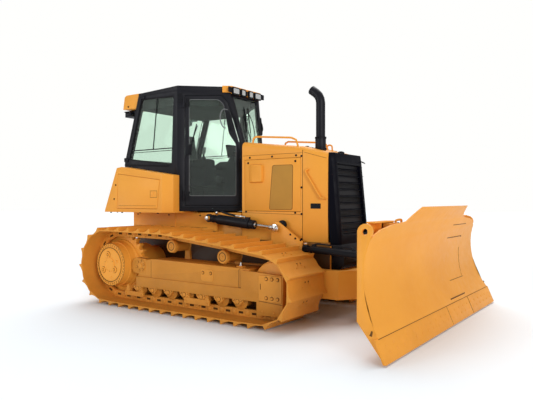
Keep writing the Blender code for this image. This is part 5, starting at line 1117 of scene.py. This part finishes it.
def lift_details(s, label):
    """Glands, ports, hoses and pin caps of a lift cylinder, and the bolts of its lug."""
    barrel, rod = "lift_cylinder_body_" + label, "lift_rod_body_" + label
    black = Shape("lift_gland_" + label, BLACK, barrel, 0.001)
    zinc, hose = Shape("lift_ports_" + label, STEEL, barrel), Shape("lift_hose_" + label, RUBBER, barrel)
    cap = Shape("rod_eye_cap_" + label, STEEL, rod)
    cap_bolts = Shape("rod_eye_bolts_" + label, BOLT_BLACK, rod)
    lug = Shape("arm_bolts_" + label, BOLT_BLACK, "push_frame")
    pins = Shape("arm_pivot_caps_" + label, YELLOW, "push_frame")
    out = (0, s, 0)
    y = s * LIFT_Y
    eye = Vector((LIFT_EYE[0], y, LIFT_EYE[1]))
    along, at = side_cylinder((LIFT_PIN[0], y, LIFT_PIN[1]), eye, s)
    black.turned(at(0.15), along, [(0, 0.05), (0.008, 0.064), (0.53, 0.064), (0.536, 0.052)], 32)
    black.turned(at(0.69), along, sleeve(0.05, 0.0585, 0.07, 0.004), 28)
    black.turned(at(0.062), along, sleeve(0.05, 0.0525, 0.033, 0.003), 28)
    zinc.turned(at(0.7605), along, [(0, 0.03), (0.01, 0.029), (0.012, 0.0235)])
    port = at(0.64, 0.062)
    black.block(port - Vector((0.03, 0.022, 0.01)), port + Vector((0.03, 0.022, 0.022)))
    line = [at(*p) for p in ((0.6, 0.082), (0.52, 0.082), (0.44, 0.08), (0.3, 0.092), (0.19, 0.112))]
    zinc.tube(line[:3], 0.01, 10, 3)
    hose.tube(line[2:], 0.0145)
    zinc.turned(line[1], along, [(0, 0.016), (0.02, 0.016)], 6)
    second = [at(*p, 0.03) for p in ((0.1, 0.06), (0.095, 0.085), (0.06, 0.102))]
    hose.tube(second, 0.012)
    zinc.turned(second[1], along, [(-0.01, 0.015), (0.018, 0.015)], 6)
    cap.turned((eye.x, y + s * 0.0242, eye.z), out, [(0, 0.034), (0.01, 0.034), (0.013, 0.029)], 24)
    for x, z in ring_places((eye.x, eye.z), 0.019, 2, 0.1):
        cap_bolts.bolt((x, y + s * 0.0372, z), out, 0.0075)
    cap.turned(eye - along * 0.046, -along, [(0, 0.028), (0.04, 0.027), (0.046, 0.0235)])
    for x, z in ((2.439, 0.987), (2.511, 0.942), (2.585, 0.925)):
        lug.button((x, s * 0.522, z), out, 0.0125)
    lug.turned((2.3, s * 0.478, 1.1), out, [(0, 0.058), (0.018, 0.058), (0.0215, 0.052)], 28)
    pins.turned((1.43, s * 0.605, 0.5), out, [(0, 0.085), (0.012, 0.085), (0.016, 0.078)], 32)
    for x, z in ring_places((1.43, 0.5), 0.062, 6):
        lug.bolt((x, s * 0.621, z), out, 0.01)


def angle_details(s, label):
    """Gland, ports, hard lines and hose of an angle cylinder, and the cap of its pin."""
    barrel = "angle_pitch_body_" + label
    black = Shape("angle_gland_" + label, BLACK, barrel, 0.001)
    lines = Shape("angle_lines_" + label, BLACK, barrel)
    hose = Shape("angle_hose_" + label, RUBBER, barrel)
    cap = Shape("angle_pin_cap_" + label, STEEL, "push_frame")
    x, y, z = ANGLE_PIN
    along, at = side_cylinder((x, s * y, z), (ANGLE_EYE[0], s * ANGLE_EYE[1], ANGLE_EYE[2]), s)
    black.turned(at(0.675), along, sleeve(0.046, 0.0495, 0.068, 0.004), 28)
    for a in (0.115, 0.64):
        port = at(a, 0.044)
        black.block(port - Vector((0.022, 0.018, 0.006)), port + Vector((0.022, 0.018, 0.018)))
    lines.turned(at(0.7405), along, [(0, 0.027), (0.01, 0.026), (0.012, 0.0208)])
    lines.tube([at(*p) for p in ((0.64, 0.06), (0.61, 0.072), (0.56, 0.072), (0.2, 0.072))], 0.008, 8, 3)
    bend = ((0.2, 0.072), (0.16, 0.07, 0.01), (0.11, 0.058, 0.022), (0.07, 0.035, 0.03))
    hose.tube([at(*p) for p in bend], 0.01)
    cap.turned((x, s * y, 0.8875), UP, [(0, 0.03), (0.008, 0.03), (0.011, 0.025)])


def tilt_details():
    """Gland, wiper ring and hose of the tilt cylinder."""
    black = Shape("tilt_gland", BLACK, "tilt_cylinder_body", 0.001)
    zinc = Shape("tilt_wiper_ring", STEEL, "tilt_cylinder_body")
    base = Vector(TILT_PIN)
    along = (Vector(TILT_EYE) - base).normalized()
    black.turned(base + along * 0.335, along, sleeve(0.038, 0.041, 0.065, 0.003), 28)
    zinc.turned(base + along * 0.4005, along, [(0, 0.024), (0.009, 0.023), (0.01, 0.0188)])
    black.tube([base + along * a + Vector((x, 0, z)) for a, x, z in (
        (0.36, 0, 0.04), (0.34, 0, 0.062), (0.12, -0.01, 0.06), (0.04, -0.05, 0.06))], 0.01)


def blade_face_x(z):
    """Front of the mouldboard at a height: hollow of two radii that meet where it is deepest."""
    deepest_x, deepest_z, upper_radius, lower_radius = 3.972, 0.80, 0.78, 1.00
    radius = upper_radius if z > deepest_z else lower_radius
    return deepest_x + radius - math.sqrt(radius ** 2 - (z - deepest_z) ** 2)


def blade_line(shape, start, end, width):
    """Thin line on the hollow face between two (y, z) points."""
    (y0, z0), (y1, z1) = start, end
    steps = max(1, round(abs(z1 - z0) / 0.03))
    dy, dz = (0, width / 2) if abs(z1 - z0) < 0.5 * abs(y1 - y0) else (width / 2, 0)
    rings = []
    for k in range(steps + 1):
        y, z = y0 + (y1 - y0) * k / steps, z0 + (z1 - z0) * k / steps
        x = blade_face_x(z)
        rings.append([(x - 0.003, y - dy, z - dz), (x - 0.003, y + dy, z + dz),
                      (x + PROUD, y + dy, z + dz), (x + PROUD, y - dy, z - dz)])
    shape.loft(rings)


def edge_point(y, share, proud=0.0):
    """Point on the cutting edge's face; share is 0 at its head and 1 at its tip."""
    head, tip = (blade_face_x(0.22), 0.2197), (4.245, 0.016)
    return (head[0] + (tip[0] - head[0]) * share + proud * EDGE_OUT[0], y,
            head[1] + (tip[1] - head[1]) * share + proud * EDGE_OUT[2])


def blade_details():
    """Slots, seams and bolts on the blade's face, edge and top, and the shelves behind its top corners."""
    body = "blade_assembly"
    shelf = Shape("blade_top_shelf", YELLOW, body, 0.002)
    seam, edge_seam = Shape("blade_slots", SEAM_AND_SHADE, body), Shape("edge_seams", SEAM_AND_SHADE, body)
    bolts, black = Shape("edge_bolts", EDGE, body), Shape("blade_top_bolts", BOLT_BLACK, body)
    brackets = Shape("blade_top_brackets", SHADED_TRACK, body, 0.002)
    for start, end, width in (((0.71, 1.1), (1.245, 1.1), 0.008), ((0.62, 0.942), (1.17, 0.942), 0.01),
                              ((0.54, 0.435), (1.06, 0.435), 0.007), ((0.27, 0.252), (0.82, 0.252), 0.026),
                              ((1.125, 0.8), (1.035, 0.445), 0.004)):
        blade_line(seam, start, end, width)
    seam.turned((blade_face_x(0.942), 1.17, 0.942), (1, 0, 0.1), [(-SINK, 0.012), (0.002, 0.012)], 10)

    # Joints of the cutting edge and its two rows of plough bolts.
    for y0, y1, head, tip, proud in ((-1.8, 1.8, 0.0, 0.018, (0.003, 0, 0.001)),
                                     (0.836, 0.844, 0.02, 0.97, (0.002, 0, 0.001)),
                                     (0.0288, 0.0312, 0.02, 0.97, (0.002, 0, 0.001))):
        edge_seam.slab([edge_point(y, share, -0.001) for y, share in rectangle(y0, head, y1, tip)], proud)
    bolt_count, outermost = 22, 1.7
    for k in range(bolt_count):
        y = 2 * outermost * k / (bolt_count - 1) - outermost
        for share, shift in ((0.34, 0), (0.62, 0.03)):
            bolts.cap(edge_point(y + shift, share), EDGE_OUT, 0.015, [(0.0015, 0.0145)], 14)

    # End plates, shelves and brackets.
    for s, _ in SIDES:
        seam.plate([(4.085, 0.245), (4.11, 0.238), (4.118, 0.285), (4.104, 0.29)], s * 1.8255, s * 0.002)
        shelf.block((3.895, s * 1.035, 1.192), (3.985, s * 1.48, 1.206))
        shelf.block((3.905, s * 1.035, 0.99), (3.917, s * 1.48, 1.193))
        for y in (s * 1.045, s * 1.33):
            shelf.plate([(3.905, 1.195), (3.978, 1.195), (3.972, 1.0), (3.935, 1.0)], y - 0.006, 0.012)
        brackets.block((3.955, s * 1.035, 1.14), (4.02, s * 1.235, 1.186))
    for y in (-1.0, -0.94, -0.83, 0.83, 0.94, 1.0):
        black.bolt((3.985, y, 1.1735), UP, 0.013, 0.012)
    hook = ((-1.01, 1.17), (-1.005, 1.205), (-0.88, 1.21), (-0.87, 1.18))
    brackets.tube([(3.99, y, z) for y, z in hook], 0.012)


# ---------------- stage
def build_stage():
    """Pale floor, soft light from above and the camera."""
    scene = bpy.context.scene
    world = bpy.data.worlds.new("studio")
    scene.world = world
    world.use_nodes = True
    tree = world.node_tree
    sky = tree.nodes["Background"]
    sky.inputs["Color"].default_value = SKY_COLOR
    path = node(tree, "ShaderNodeLightPath")
    seen = combine(tree, "MAXIMUM", path.outputs["Is Camera Ray"], path.outputs["Is Transmission Ray"])
    link(tree, ramp(tree, seen, 0.0, 1.0, SKY_LIGHT, SKY_SEEN), sky.inputs["Strength"])
    scene.view_settings.view_transform = "Standard"
    scene.view_settings.look = "None"

    mat, tree, shader = new_material("floor_pale", Roughness=0.9, Specular_IOR_Level=0.0)
    link(tree, blend_colors(tree, noise(tree, 0.4), *FLOOR_TONES), shader.inputs["Base Color"])
    mesh = bpy.data.meshes.new("floor")
    corners = rectangle(-FLOOR_HALF, -FLOOR_HALF, FLOOR_HALF, FLOOR_HALF)
    mesh.from_pydata([(x, y, 0) for x, y in corners], [], [[0, 1, 2, 3]])
    mesh.materials.append(mat)
    add_object("floor", mesh)

    for name, direction, angle, strength in SUNS:
        data = bpy.data.lights.new(name, "SUN")
        data.angle = math.radians(angle)
        data.energy = strength
        add_object(name, data).rotation_euler = Vector(direction).to_track_quat("Z", "Y").to_euler()

    camera = bpy.data.cameras.new("camera")
    camera.lens, camera.sensor_width = CAMERA_LENS, CAMERA_SENSOR
    view = add_object("camera", camera)
    view.location = CAMERA_AT
    view.rotation_euler = (math.radians(90), 0, math.radians(CAMERA_HEADING))
    scene.camera = view


build_stage()
finish_nodes()
for s, label in SIDES:
    for details in (chain_details, hub_details, track_frame_details, side_details, hood_details,
                    cab_door_details, side_window_details, lift_details, angle_details):
        details(s, label)
for details in (rear_details, hood_top_details, guard_details, cab_front_details, roof_details,
                seat_pads, cab_inside, tilt_details, blade_details):
    details()
for shape in Shape.made:
    shape.build()
